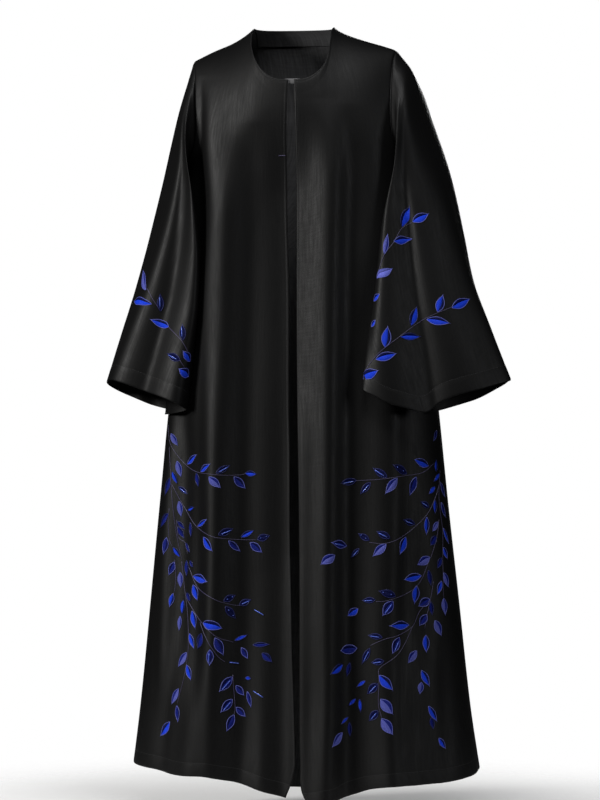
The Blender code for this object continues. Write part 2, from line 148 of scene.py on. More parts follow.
# Soft folds: half width, then rows of depth, sideways place and height
FRONT_FOLDS = (
    (30, ((100, -158, 0), (200, -150, 6), (320, -138, 12), (520, -146, 14), (760, -140, 14),
          (1000, -135, 11), (1200, -145, 10), (1420, -165, 12))),
    (20, ((90, -178, 0), (150, -174, -8), (320, -172, -16), (520, -182, -14), (700, -200, -8),
          (900, -205, -9), (1200, -225, -8), (1420, -240, -6))),
    (34, ((180, -62, 0), (260, -66, -8), (500, -72, -13), (900, -74, -15), (1200, -72, -16),
          (1420, -85, -18))),
    (26, ((1000, -40, 0), (1200, -40, 5), (1420, -34, 10))),
    (34, ((140, 60, 0), (280, 66, 7), (500, 68, 9), (900, 72, 11), (1200, 70, 14), (1420, 62, 20))),
    (26, ((150, 115, 0), (260, 118, -8), (500, 112, -12), (900, 112, -14), (1200, 118, -14),
          (1420, 120, -16))),
    (28, ((620, 165, 0), (760, 172, 8), (1100, 172, 9), (1300, 190, 9), (1420, 200, 12))),
    (22, ((800, 225, 0), (1000, 232, -6), (1420, 262, -9))),
)
BACK_FOLDS = (
    (34, ((200, -95, 0), (500, -92, 9), (900, -100, 13), (1420, -120, 18))),
    (30, ((300, -35, 0), (600, -38, -9), (1000, -42, -14), (1420, -50, -20))),
    (34, ((250, 28, 0), (600, 25, 9), (1000, 22, 13), (1420, 18, 19))),
    (30, ((300, 88, 0), (600, 88, -9), (1000, 92, -13), (1420, 98, -18))),
    (30, ((250, 140, 0), (600, 150, 8), (1000, 160, 11), (1420, 178, 15))),
    (24, ((350, -155, 0), (700, -165, -7), (1420, -195, -12))),
)
FOLDS_END_AT_SIDE = 14.0
TOP_SETTLE = 0.35
CORE_DROP = 60

# Broad creases on the body: start and end place, start and end depth, half width, height
FRONT_CREASES = (
    (-4, -2, 150, 1100, 38, -18), (-6, -6, 930, 1700, 38, -16), (-42, -40, 200, 1700, 26, -4),
    (-100, -128, 180, 1500, 23, 12), (-152, -160, 200, 1300, 18, -6), (34, 34, 620, 1700, 18, 6),
    (-178, -190, 260, 700, 16, -4), (-180, -196, 640, 1240, 18, -7), (-214, -234, 620, 1300, 15, 6),
    (-150, -190, 1120, 1500, 24, 5), (-206, -252, 900, 1480, 14, 3), (42, 48, 130, 1500, 22, -5),
    (90, 88, 130, 1700, 22, 9), (150, 154, 400, 1600, 24, -7), (194, 198, 400, 1500, 18, 6),
    (206, 212, 900, 1480, 24, -4), (240, 250, 1060, 1600, 28, 9), (60, 56, 1080, 1600, 20, -4),
    (280, 296, 1060, 1460, 14, -3),
)
BACK_CREASES = (
    (-110, -84, 40, 420, 34, 3), (-44, -36, 30, 300, 30, -2), (48, 38, 30, 320, 32, -2),
    (116, 88, 40, 430, 34, 3), (-150, -136, 240, 700, 26, 3), (148, 136, 260, 720, 26, 3),
    (0, -6, 420, 1000, 30, 3), (-196, -220, 640, 1250, 24, 4), (202, 226, 660, 1260, 24, 4),
    (-72, -80, 800, 1480, 24, -5), (58, 62, 860, 1480, 24, 4), (-150, -170, 1000, 1480, 22, 4),
    (134, 146, 980, 1480, 22, -5), (-246, -268, 980, 1400, 18, -4), (246, 272, 1000, 1400, 18, -4),
    (-14, -22, 1100, 1500, 20, 4),
)
CREASE_FADE = 170.0

# Sleeve sections: share of the way, centre, half vector to the outer edge, half vector to the front
SLEEVE_RIGHT = (
    (0.00, -192, 0, -156, 6, 0, 96, 6, -60, 0),
    (0.10, -199, 1, -182, 2, 0, 88, 10, -74, 0),
    (0.25, -208, 1, -236, -9, 0, 74, 20, -90, 2),
    (0.40, -212, 0, -316, -25, 4, 55, 32, -98, 4),
    (0.55, -219, -2, -405, -44, 10, 42, 36, -103, 6),
    (0.70, -231, -6, -500, -62, 16, 34, 34, -103, 8),
    (0.85, -249, -11, -595, -77, 24, 29, 26, -101, 8),
    (1.00, -266, -16, -683, -88, 32, 26, 16, -98, 6),
)
SLEEVE_LEFT = (
    (0.00, 197, 0, -141, -7, 0, 97, -8, -60, 0),
    (0.10, 214, -1, -172, 7, 0, 86, -14, -74, 0),
    (0.25, 224, -6, -227, 18, 2, 72, -22, -84, 0),
    (0.40, 230, -20, -320, 50, 14, 48, -28, -80, 0),
    (0.55, 237, -42, -412, 70, 26, 38, -24, -66, -2),
    (0.70, 243, -62, -500, 88, 34, 32, -14, -54, -4),
    (0.85, 256, -80, -590, 110, 40, 22, -2, -43, -5),
    (1.00, 271, -95, -683, 130, 42, 10, 8, -33, -6),
)
SLEEVE_SETTLE = 0.22
SLEEVE_ROWS = 22
SLEEVE_ROW_SPREAD = 1.05
SLEEVE_LENGTH = 640.0
SLEEVE_CLEAR = 5.5
CLEAR_FROM = 150
CLEAR_RAMP = 60
CLEAR_FIRST = 0.035
CLEAR_FULL = 0.15
CLEAR_SHARE = 0.6
LEAST_REACH = 0.05
SLEEVE_RIPPLE = (120.0, 80.0)

# Cuff line: angle round the sleeve, lift over the plain section
CUFF_RIGHT = (
    (0, 3), (60, 6), (90, 4), (120, 0), (150, -3), (180, -3), (240, -4), (270, -6), (300, -3), (360, 3),
)
CUFF_LEFT = (
    (0, 25), (30, 24), (60, 17), (75, 10), (90, -6), (105, -20), (120, -6), (135, 7), (150, 17),
    (180, 25), (210, 13), (240, -9), (270, -28), (300, -16), (330, 7), (360, 25),
)
CUFF_FROM = 0.55

# Sleeve folds: half width in degrees, then rows of share of the way, angle round and height
FOLDS_SLEEVE_RIGHT = (
    (16, ((0.05, 66, 0), (0.2, 80, 7), (0.6, 108, 9), (1, 120, 8))),
    (16, ((0.15, 44, 0), (0.4, 62, -7), (0.7, 74, -10), (1, 80, -10))),
    (18, ((0.2, 20, 0), (0.6, 34, 5), (1, 38, 8))),
    (18, ((0.2, 300, 0), (0.6, 290, -8), (1, 285, -12))),
)
FOLDS_SLEEVE_LEFT = (
    (15, ((0.02, 60, 0), (0.15, 96, 9), (0.5, 118, 8), (1, 128, 6))),
    (15, ((0.12, 60, 0), (0.3, 78, -8), (0.6, 92, -12), (1, 104, -16))),
    (18, ((0.2, 36, 0), (0.5, 52, 5), (1, 62, 8))),
    (18, ((0.2, 300, 0), (0.6, 280, -6), (1, 270, -10))),
)

# Broad creases on a sleeve: start and end angle, start and end share, half width in degrees, height
CREASES_SLEEVE_RIGHT = (
    (50, 40, 0.03, 0.42, 14, 3), (92, 100, 0.04, 0.36, 12, -3), (44, 50, 0.12, 1.2, 13, 10),
    (80, 87, 0.12, 1.2, 13, -9), (114, 122, 0.35, 1.2, 12, 4), (140, 148, 0.25, 1.05, 14, 3),
    (250, 244, 0.1, 0.8, 16, -3), (212, 222, 0.2, 1.0, 16, 3), (335, 326, 0.15, 0.9, 16, 3),
    (150, 110, 0.0, 0.24, 14, 3),
)
CREASES_SLEEVE_LEFT = (
    (44, 50, 0.03, 0.4, 14, 3), (82, 92, 0.3, 1.2, 14, -7), (28, 32, 0.3, 1.2, 20, 10),
    (134, 142, 0.3, 1.05, 14, 3), (250, 244, 0.1, 0.8, 16, -3), (212, 220, 0.2, 1.0, 16, 3),
    (332, 322, 0.15, 0.9, 16, 3), (150, 112, 0.0, 0.24, 14, 3),
)
SLEEVE_CREASE_FADE = 0.2

# How far the cloth stands out near an edge: distance from the edge, lift
FRONT_EDGE_LIFT = ((0, -0.8), (1.2, 0.1), (3, 0.5), (5, 0.2), (7, 0.4), (22, 0.25), (70, 0))
NECK_LIFT = ((0, -0.6), (1.2, 0.2), (3, 0.6), (5, 0.2), (7, 0.5), (20, 0.2), (26, 0))
SEAM_LIFT = ((0, -1.0), (1.5, -0.3), (4, 0.35), (9, 0.25), (16, 0))
HEM_LIFT = ((0, -0.6), (1.5, 0.3), (6, 0.45), (20, 0.35), (25, 0.05), (29, 0.15), (70, 0))
CUFF_LIFT = ((0, -0.6), (1.5, 0.3), (6, 0.45), (25, 0.4), (30, 0.0), (34, 0.15), (75, 0))

# Stitches, in millimetres: distance from the edge, then length, gap and radius of one
EDGE_STITCH = 5.0
HEM_STITCH = 25.0
CUFF_STITCH = 30.0
STITCH_SIZES = (3.0, 0.9, 0.32)
STITCH_SHAPE = (0.35, 1.0, 0.35)
STITCH_HEIGHT = 0.8
STITCH_SEAT = 0.35

# Stitched lines of a panel: distance from the edge, 0 down or 1 across, whether from the far end
STITCHED = {
    "front": ((EDGE_STITCH, 1, False), (HEM_STITCH, 0, True), (EDGE_STITCH, 0, False)),
    "back": ((HEM_STITCH, 0, True), (EDGE_STITCH, 0, False)),
    "sleeve": ((CUFF_STITCH, 0, True),),
}

# Steps of the fine grids
BODY_ROW_STEPS = 262
FRONT_COLUMN_STEPS = 96
BACK_COLUMN_STEPS = 140
SLEEVE_ROW_STEPS = 128
SLEEVE_COLUMN_STEPS = 140

# Extra fine rows and columns close to an edge, in millimetres from it, but in rows at the top
NEAR_TOP = (0, 0.09, 0.2, 0.33)
NEAR_EDGE = np.array((0, 1.0, 2.2, 3.6, 5.0, 6.4, 8.5))
NEAR_HEM = np.array((0, 1.2, 2.6, 4.5, 8, 14, 20, 23.5, 25, 26.5, 29, 34))
NEAR_ARMHOLE = np.array((0, 1.2, 2.6, 4.4))
NEAR_CUFF = np.array((0, 1.2, 2.6, 4.5, 8, 14, 20, 26, 28.5, 30, 31.5, 34, 38))
ROW_SIZE = 57
FRONT_COLUMN_SIZE = 33
BACK_COLUMN_SIZE = 36
FIRST_EVEN_ROW = 0.5
SLEEVE_EVEN_ROWS = (0.01, 1 - 0.065)

# Neck facing, tab and tack, in millimetres
FACING_GAP = 0.3
FACING_COLUMN_STEPS = 85
TAB_CORNER = 2.5
TAB_CORNER_RISE = 0.4
TAB_ARCH = 0.5
TAB_SWELL = 0.4
TAB_STEPS = (13, 33)
TACK_PLACES = (-28.0, -16.0)
TACK_DEPTH = 235.0
TACK_RADIUS = 0.8
TACK_END_RADIUS = 0.5
TACK_LIFT = 0.5
TACK_WRAPS = 9
TACK_WRAP_STEPS = 7
TACK_WRAP_REACH = 0.95
TACK_THREAD = 0.25

# Stage, in metres and degrees
FLOOR_DROP = 0.03
FLOOR_RADIUS = 1.1
VIEW_AZIMUTH = 7.0
VIEW_DISTANCE = 6.0
VIEW_SIDEWAYS = 0.011
VIEW_HEIGHT = -0.686
VIEW_LENS = 146.3

# Lamps: name, place, aimed at, size, power, colour
LAMPS = (
    ("key_softbox", (-3.2, -2.25, 0.9), (0.0, 0.0, -0.7), 1.3, 165.0, (1.0, 0.99, 0.97)),
    ("fill_softbox", (3.6, -1.6, 0.1), (0.0, 0.0, -0.7), 1.4, 26.0, (0.97, 0.98, 1.0)),
    ("top_softbox", (0.35, -1.25, 1.7), (0.02, 0.0, 0.0), 0.8, 40.0, (1.0, 1.0, 1.0)),
    ("back_softbox", (0.2, 3.3, 0.4), (0.0, 0.0, -0.7), 1.4, 70.0, (1.0, 1.0, 1.0)),
)
WORLD_LIGHT = 0.008

# Patterns of the finishes: repeats along and across in a metre, and depth of the relief in metres
SLUBS_DOWN = (240.0, 22.0, 1.0)
SLUBS_ACROSS = (26.0, 260.0, 1.0)
CREPE_GRAIN = (1100.0, 1100.0, 1.0)
CREPE_CLOUDS = (16.0, 7.0, 1.0)
CREPE_RELIEF = 0.0008
SATIN_THREADS = (1500.0, 420.0, 1.0)
SATIN_RELIEF = 0.0003
THREAD_TWIST = 900.0
THREAD_RELIEF = 0.0002
BEAD_STREAKS = 500.0

# Finishes: how made, low and high colour with the share of each, roughness, gloss. For satin the low colour
# is painted shade in the grooves between threads.
FINISHES = {
    "crepe": ("crepe", "cloth", 1, "cloth_light", 1, 0.6, 0.19),
    # Inside crepe: partly the matte wrong side, partly painted light, much lighter than the outer face to
    # stand in for light reaching inside
    "crepe_inside": ("crepe", "cloth_inside", 0.5, "cloth_inside", 1, 0.9, 0.2),
    # Light grey tab crepe: painted highlight of the tab's edge between the fronts
    "tab_crepe": ("crepe", "cloth_inside", 1, "cloth_inside", 2.5, 0.6, 0.5),
    "royal_satin": ("satin", "royal_leaf", 0.45, "royal_leaf", 1, 0.4, 0.08),
    "deep_satin": ("satin", "deep_leaf", 0.4, "deep_leaf", 1, 0.45, 0.08),
    # Deep blue thread darkened: painted shade for a leaf half
    "navy_satin": ("satin", "deep_leaf", 0.12, "deep_leaf", 0.3, 0.45, 0.08),
    "violet_satin": ("satin", "violet_leaf", 0.55, "violet_leaf", 1, 0.42, 0.08),
    # Violet thread lightened: painted lit sheen for a leaf half
    "pale_satin": ("satin", "violet_leaf", 1, "violet_leaf", 1.35, 0.42, 0.08),
    "violet_cord": ("thread", "violet_leaf", 0.6, "violet_leaf", 1, 0.42, 0.5),
    "blue_cord": ("thread", "deep_leaf", 0.33, "deep_leaf", 0.55, 0.42, 0.5),
    "stem_thread": ("thread", "stem", 0.6, "stem", 1, 0.45, 0.5),
    "sewing_thread": ("thread", "sewing", 0.6, "sewing", 1, 0.5, 0.5),
    "bugle_bead": ("bead", "bead", 0.35, "bead", 1, 0.22, 0.5),
}

# Leaf kinds: finish of the narrow half, the wide half and the outline, and what is sewn along the middle.
# Most narrow halves are painted in shade and most wide halves painted lit, standing in for the sheen of
# satin.
LEAF_FINISHES = (
    "violet_cord", "blue_cord", "royal_satin", "deep_satin", "navy_satin", "violet_satin", "pale_satin",
)
LEAF_KINDS = {
    "v": ("deep_satin", "violet_satin", "violet_cord", None),
    "p": ("violet_satin", "pale_satin", "violet_cord", None),
    "r": ("navy_satin", "royal_satin", "violet_cord", None),
    "d": ("navy_satin", "royal_satin", "blue_cord", None),
    "q": ("royal_satin", "royal_satin", "blue_cord", None),
    "n": ("navy_satin", "deep_satin", "blue_cord", None),
    "o": ("navy_satin", "deep_satin", "violet_cord", None),
    "b": ("navy_satin", "navy_satin", "blue_cord", "rod"),
    "w": ("navy_satin", "deep_satin", "violet_cord", "rod"),
    "s": ("navy_satin", "navy_satin", "blue_cord", "drops"),
    "t": (None, None, None, "rod"),
}
LEAF_SHARES = np.linspace(0, 1, 13)
HALF_SHARES = np.array((0.0, 0.12, 0.35, 0.65, 0.88, 1.0))
LEAF_POINT = 0.9
LEAF_BODY = 0.93
LEAF_CROWN = 0.9
MIDRIB_SHIFT = 0.28
# Direction that picks the side of each leaf's narrow half, so its painted shade half and painted lit half
# fall the same way on every leaf
LIT_SIDE = (0.35, 0.0, 1.0)
LEAST_SEEN = 0.62
LEAF_LIFT = 0.05
CORD_RADIUS = 0.6
CORD_END = 0.4
CORD_SEAT = 0.7
CORD_SIDES = 5
STEM_STEP = 3.0
STEM_END = 0.75
STEM_SEAT = 0.6
STEM_SIDES = 6
BEAD_SIDES = 8
ROD_SHARE = 0.6
ROD_SHIFT = 0.08
ROD_RADIUS = 0.9
ROD_SHAPE = (0.75, 1, 1, 1, 0.75)
DROP_RADIUS = 1.0
DROP_END = 0.05
DROP_STEPS = 7
DROP_SHARES = (0.3, 0.72)
ROD_HEIGHT = 0.8
ROD_HEIGHT_ON_LEAF = 1.5
DROP_HEIGHT = 1.4

# Stems of a panel: places as seen from the camera, across from the middle and down from the origin
STEMS = {
    "front_right": (
        ((-232, 733), (-227, 769), (-204, 801), (-181, 818), (-154, 823), (-125, 825), (-98, 824),
         (-90, 822)),
        ((-230, 772), (-227, 830), (-224, 879), (-217, 932), (-207, 981)),
        ((-225, 842), (-213, 865), (-199, 889), (-181, 918), (-154, 937), (-126, 942), (-92, 944),
         (-69, 944)),
        ((-217, 907), (-213, 939), (-201, 949), (-196, 970)),
        ((-230, 886), (-232, 912), (-230, 942), (-224, 958)),
        ((-207, 984), (-202, 1030), (-196, 1083), (-195, 1146), (-202, 1193), (-215, 1246)),
        ((-220, 981), (-218, 1004), (-219, 1030), (-222, 1045)),
        ((-194, 994), (-177, 1032), (-145, 1055), (-113, 1064), (-100, 1065)),
        ((-198, 1053), (-173, 1093), (-145, 1122), (-112, 1133)),
        ((-173, 1096), (-168, 1112), (-158, 1134), (-149, 1148), (-139, 1161), (-128, 1169)),
        ((-113, 1193), (-112, 1214), (-110, 1235), (-109, 1256), (-111, 1269)),
    ),
    "front_left": (
        ((258, 803), (237, 820), (203, 826), (163, 832), (115, 835)),
        ((268, 842), (259, 870), (246, 896), (223, 920), (193, 942), (167, 951), (139, 949)),
        ((269, 815), (267, 863), (270, 896), (274, 929), (274, 980)),
        ((267, 907), (265, 929), (262, 945), (256, 965), (251, 980)),
        ((250, 981), (231, 1024), (204, 1045), (169, 1057), (151, 1058)),
        ((274, 981), (275, 1015), (275, 1037), (276, 1051)),
        ((257, 1021), (252, 1053), (248, 1071), (244, 1089), (241, 1108)),
        ((250, 1056), (231, 1077), (219, 1103), (193, 1120), (166, 1128), (141, 1139)),
        ((219, 1103), (204, 1136), (188, 1159), (160, 1179), (156, 1186)),
        ((156, 1186), (157, 1205), (156, 1227), (156, 1250), (160, 1265), (163, 1276)),
    ),
    "sleeve_left": (
        ((153, 461), (160, 436), (168, 415), (183, 396), (199, 369), (219, 358)),
        ((121, 648), (152, 604), (196, 568), (240, 537), (292, 514)),
    ),
    "sleeve_right": (
        ((-271, 480), (-260, 501), (-248, 519)),
        ((-232, 551), (-221, 562), (-208, 576), (-200, 589), (-194, 603), (-190, 615)),
        ((-211, 612), (-203, 625)),
    ),
}

# Leaves of a panel as seen from the camera: foot across and down, tip across and down, width, kind
LEAVES = {
    "front_right": (
        (-227, 748, -214, 771, 10, "v"), (-197, 804, -179, 786, 10, "r"), (-172, 818, -154, 804, 10, "r"),
        (-144, 821, -118, 806, 10, "b"), (-180, 821, -176, 847, 8, "n"), (-157, 828, -135, 849, 13, "v"),
        (-111, 828, -89, 850, 13, "o"), (-90, 821, -68, 823, 10, "d"), (-216, 799, -208, 829, 11, "v"),
        (-225, 818, -215, 842, 8, "d"), (-213, 846, -196, 860, 8, "b"), (-229, 830, -238, 863, 9, "n"),
        (-212, 873, -208, 902, 10, "v"), (-196, 889, -184, 884, 7, "d"), (-178, 919, -160, 906, 8, "r"),
        (-191, 912, -190, 940, 6, "n"), (-167, 939, -150, 966, 13, "r"), (-140, 935, -112, 923, 12, "b"),
        (-121, 946, -99, 966, 10, "o"), (-98, 939, -73, 926, 9, "d"), (-81, 949, -58, 968, 13, "o"),
        (-68, 943, -44, 936, 12, "s"), (-232, 895, -246, 922, 10, "n"), (-235, 940, -241, 972, 11, "o"),
        (-215, 920, -202, 942, 9, "n"), (-215, 910, -201, 925, 7, "n"), (-200, 950, -192, 968, 6, "n"),
        (-223, 958, -210, 977, 8, "d"), (-221, 985, -231, 1010, 11, "o"), (-198, 982, -198, 1013, 7, "n"),
        (-192, 983, -186, 995, 6, "n"), (-186, 1011, -159, 1022, 15, "r"),
        (-210, 1004, -209, 1033, 10, "v"), (-186, 1027, -178, 1057, 12, "r"),
        (-223, 1043, -230, 1069, 9, "r"), (-198, 1042, -191, 1058, 8, "n"),
        (-204, 1055, -207, 1082, 8, "d"), (-210, 1085, -212, 1112, 7, "v"),
        (-188, 1075, -182, 1109, 11, "r"), (-130, 1057, -108, 1046, 11, "s"),
        (-101, 1064, -79, 1054, 11, "b"), (-127, 1067, -107, 1090, 12, "s"),
        (-73, 1073, -56, 1083, 4, "t"), (-167, 1097, -132, 1108, 16, "r"),
        (-146, 1125, -130, 1158, 15, "o"), (-193, 1117, -184, 1146, 9, "r"),
        (-170, 1117, -178, 1146, 13, "n"), (-155, 1147, -156, 1177, 13, "w"),
        (-110, 1130, -85, 1119, 6, "q"), (-76, 1138, -44, 1137, 8, "n"), (-97, 1143, -85, 1164, 10, "o"),
        (-59, 1153, -40, 1170, 12, "n"), (-119, 1170, -102, 1172, 4, "t"), (-90, 1199, -79, 1200, 6, "q"),
        (-198, 1152, -214, 1179, 11, "v"), (-198, 1175, -190, 1204, 10, "r"),
        (-114, 1197, -139, 1225, 15, "w"), (-114, 1238, -136, 1263, 14, "w"),
        (-111, 1267, -125, 1298, 13, "o"), (-107, 1213, -92, 1232, 11, "o"),
        (-107, 1253, -89, 1271, 11, "o"), (-86, 1224, -79, 1254, 7, "o"), (-75, 1223, -57, 1235, 4, "t"),
        (-213, 1219, -226, 1248, 10, "v"), (-216, 1250, -214, 1281, 8, "o"),
        (-229, 1280, -247, 1307, 13, "r"),
    ),
    "front_left": (
        (248, 808, 220, 795, 14, "r"), (208, 822, 182, 805, 13, "s"), (172, 829, 145, 811, 12, "b"),
        (115, 834, 86, 840, 12, "b"), (141, 838, 122, 860, 11, "b"), (190, 830, 168, 860, 14, "v"),
        (225, 828, 213, 863, 12, "o"), (263, 742, 257, 762, 7, "o"), (262, 818, 262, 795, 7, "d"),
        (268, 822, 257, 837, 7, "q"), (260, 846, 248, 860, 8, "q"), (270, 838, 278, 866, 7, "o"),
        (249, 884, 233, 873, 10, "b"), (260, 870, 260, 897, 7, "d"), (245, 902, 244, 936, 9, "r"),
        (223, 915, 201, 907, 11, "b"), (177, 941, 152, 928, 12, "b"), (139, 945, 118, 932, 10, "s"),
        (206, 939, 195, 972, 13, "r"), (170, 952, 145, 975, 14, "v"), (97, 955, 68, 949, 14, "w"),
        (120, 960, 105, 977, 8, "b"), (75, 972, 49, 990, 15, "v"), (265, 911, 255, 929, 9, "v"),
        (262, 937, 251, 955, 12, "n"), (271, 875, 279, 903, 7, "o"), (275, 923, 285, 952, 6, "r"),
        (275, 958, 283, 980, 8, "r"), (250, 976, 227, 991, 15, "v"), (272, 977, 264, 997, 9, "n"),
        (235, 1010, 202, 1018, 14, "r"), (187, 1048, 156, 1038, 13, "s"), (150, 1055, 125, 1056, 10, "b"),
        (182, 1057, 163, 1085, 17, "w"), (118, 1071, 98, 1085, 13, "r"), (226, 1029, 222, 1063, 13, "r"),
        (248, 1000, 253, 1030, 8, "n"), (250, 1053, 229, 1067, 15, "o"), (252, 1058, 255, 1084, 8, "n"),
        (276, 1005, 285, 1032, 10, "v"), (272, 1020, 264, 1046, 9, "r"), (276, 1052, 279, 1084, 10, "v"),
        (260, 1093, 272, 1122, 13, "v"), (243, 1120, 244, 1153, 12, "r"), (245, 1082, 231, 1103, 13, "o"),
        (212, 1101, 175, 1103, 15, "r"), (163, 1124, 136, 1120, 10, "b"), (194, 1124, 181, 1155, 14, "w"),
        (116, 1144, 85, 1149, 16, "o"), (140, 1144, 125, 1174, 10, "b"), (166, 1168, 142, 1171, 11, "b"),
        (226, 1149, 210, 1172, 13, "v"), (90, 1174, 66, 1193, 13, "d"), (103, 1171, 97, 1197, 8, "n"),
        (157, 1194, 183, 1223, 16, "r"), (154, 1209, 135, 1229, 14, "b"), (132, 1204, 115, 1216, 6, "q"),
        (160, 1238, 183, 1267, 18, "v"), (155, 1259, 138, 1279, 13, "b"), (114, 1237, 100, 1251, 6, "q"),
        (121, 1238, 123, 1263, 6, "q"), (162, 1274, 183, 1305, 18, "v"), (235, 1185, 250, 1215, 12, "r"),
        (235, 1207, 232, 1229, 10, "v"), (100, 1271, 86, 1285, 5, "q"), (102, 1281, 103, 1308, 7, "n"),
        (89, 1300, 70, 1327, 13, "v"), (248, 1251, 264, 1280, 10, "r"), (253, 1272, 257, 1294, 8, "n"),
        (267, 1310, 280, 1330, 9, "r"),
    ),
    "sleeve_left": (
        (199, 367, 214, 326, 15, "d"), (219, 357, 249, 342, 16, "r"), (184, 393, 219, 388, 15, "r"),
        (167, 417, 173, 379, 9, "v"), (153, 461, 182, 443, 14, "p"), (140, 512, 159, 490, 10, "r"),
        (143, 551, 151, 538, 7, "r"), (168, 589, 173, 549, 17, "r"), (216, 549, 227, 512, 14, "d"),
        (151, 611, 190, 600, 15, "r"), (196, 569, 235, 569, 13, "d"), (245, 537, 289, 545, 14, "r"),
        (265, 524, 275, 491, 15, "r"), (291, 516, 325, 499, 17, "r"), (121, 649, 157, 631, 18, "r"),
    ),
    "sleeve_right": (
        (-273, 483, -278, 446, 16, "v"), (-262, 509, -295, 504, 15, "r"), (-246, 522, -247, 490, 12, "b"),
        (-231, 551, -266, 537, 13, "r"), (-205, 576, -206, 545, 11, "b"), (-210, 613, -234, 600, 13, "b"),
        (-192, 615, -205, 595, 13, "r"), (-195, 642, -213, 628, 17, "r"),
    ),
}


def smooth(table, x, column=1):
    """Read a column of a table at x along a smooth curve that never overshoots."""
    rows = np.asarray(table, dtype=float)
    xs, ys = rows[:, 0], rows[:, column]
    step = np.diff(xs)
    slope = np.diff(ys) / step
    tangent = np.zeros(len(xs))
    tangent[0], tangent[-1] = slope[0], slope[-1]
    for i in range(1, len(xs) - 1):
        if slope[i - 1] * slope[i] > 0:
            tangent[i] = 2 * slope[i - 1] * slope[i] / (slope[i - 1] + slope[i])
    x = np.clip(np.asarray(x, dtype=float), xs[0], xs[-1])
    i = np.clip(np.searchsorted(xs, x, side="right") - 1, 0, len(xs) - 2)
    h = step[i]
    s = (x - xs[i]) / h
    return (ys[i] * (1 + 2 * s) * (1 - s) ** 2 + ys[i + 1] * s * s * (3 - 2 * s)
            + tangent[i] * h * s * (1 - s) ** 2 - tangent[i + 1] * h * s * s * (1 - s))


def ease(x):
    """Go from 0 to 1 with flat ends."""
    x = np.clip(x, 0, 1)
    return x * x * (3 - 2 * x)


def unit(v):
    """Scale vectors to length one."""
    return v / np.maximum(np.linalg.norm(v, axis=-1, keepdims=True), 1e-9)


def ring_at(depth):
    """Centre, half width, front depth and back depth of the body at a depth."""
    return [smooth(BODY_RINGS, depth, c) for c in (1, 2, 3, 4)]


def angle_of(x, depth):
    """Angle round the ring, in radians, of a sideways place."""
    centre, half, _, _ = ring_at(depth)
    share = np.clip((x - centre) / half, -1, 1)
    return np.sign(share) * np.arcsin(np.abs(share) ** (RING_POWER / 2))


def fold_height(folds, across, along):
    """Sum of soft ridges and troughs at a place."""
    total = np.zeros(np.broadcast(across, along).shape)
    for width, rows in folds:
        place = smooth(rows, along, 1)
        total = total + smooth(rows, along, 2) * np.exp(-((across - place) / width) ** 2)
    return total


def crease_height(creases, across, along, fade):
    """Sum of slanting creases that fade out at both ends."""
    total = np.zeros(np.broadcast(across, along).shape)
    for x0, x1, y0, y1, width, height in creases:
        share = np.clip((along - y0) / (y1 - y0), 0, 1)
        place = x0 + (x1 - x0) * share
        strength = height * ease(np.minimum(share, 1 - share) * (y1 - y0) / fade)
        total = total + strength * np.exp(-((across - place) / width) ** 2)
    return total


def ripple(across, along, phase):
    """Slight unevenness that real cloth always has, under half a millimetre."""
    return (0.22 * np.sin(across / 23 + phase + 1.7 * np.sin(along / 131 + phase))
            + 0.20 * np.sin(along / 61 + across / 47 + 2.1 * phase)
            + 0.12 * np.sin(across / 11 - along / 90 + 3.3 * phase))


def shoulder_share(x, depth):
    """Share of the full depth reached as the cloth turns over the shoulder ridge."""
    rise = np.clip((smooth(RIDGE, x) + depth) / SHOULDER_ROUND, 0, 1)
    return np.sqrt(1 - (1 - rise) ** 2)


def body_point(angle, depth, face, hold):
    """Point on the body cloth: angle round the ring, depth, face -1 for front and 1 for back."""
    centre, half, front, back = ring_at(depth)
    across = np.sign(angle) * np.abs(np.sin(angle)) ** (2 / RING_POWER)
    deep = np.abs(np.cos(angle)) ** (2 / RING_POWER)
    x = centre + half * across
    reach = front if face < 0 else back
    y = face * reach * deep * shoulder_share(x, depth)
    out = unit(np.stack([across / half, face * deep / reach], axis=-1))
    folds, creases = (FRONT_FOLDS, FRONT_CREASES) if face < 0 else (BACK_FOLDS, BACK_CREASES)
    height = fold_height(folds, x, depth) + crease_height(creases, x, depth, CREASE_FADE)
    height = (height + ripple(x, depth, face)) * hold
    return np.stack([x + out[..., 0] * height, y + out[..., 1] * height, -depth + 0 * x], axis=-1)


@functools.cache
def side_table(side):
    """Row number against share of the way down, front angle and back angle at the side edge."""
    reach = SIDE_HEM[-1] + smooth(RIDGE, -SHOULDER_END[-1])
    end = SHOULDER_END[side] * side
    top = math.degrees(abs(angle_of(end, -smooth(RIDGE, end))))
    rows = [(k, row[0] / reach, row[1] if k else top, row[2] if k else top) for k, row in enumerate(ARMHOLE)]
    last = rows[-1][1]
    rows += [(ARM_ROWS + k, last + (1 - last) * k / ROWS_BELOW, 90, 90) for k in range(1, ROWS_BELOW + 1)]
    return tuple(rows)


def share_grid(rows, u):
    """Share of the way down: bunched at the underarm on the side edge, even in the middle."""
    side = smooth(side_table(-1), rows, 1)[:, None]
    even = (rows[:, None] / ROWS) ** ROW_SPREAD
    return side + (even - side) * (1 - np.abs(u) ** 3)


def side_angle(side, face, rows):
    """Angle of the side edge at each row: armhole first, then the side seam."""
    return side * np.radians(smooth(side_table(side), rows, 2 if face < 0 else 3))


def settle(share):
    """How much of the top edge's spacing a row keeps."""
    return np.clip(1 - share / TOP_SETTLE, 0, 1) ** 2


def shoulder_line(side, step):
    """Sideways place and depth along a shoulder seam, step 0 at the neck."""
    x = side * (NECK_HALF_WIDTH + (SHOULDER_END[side] - NECK_HALF_WIDTH) * step / SHOULDER_COLUMNS)
    return x, -smooth(RIDGE, x)


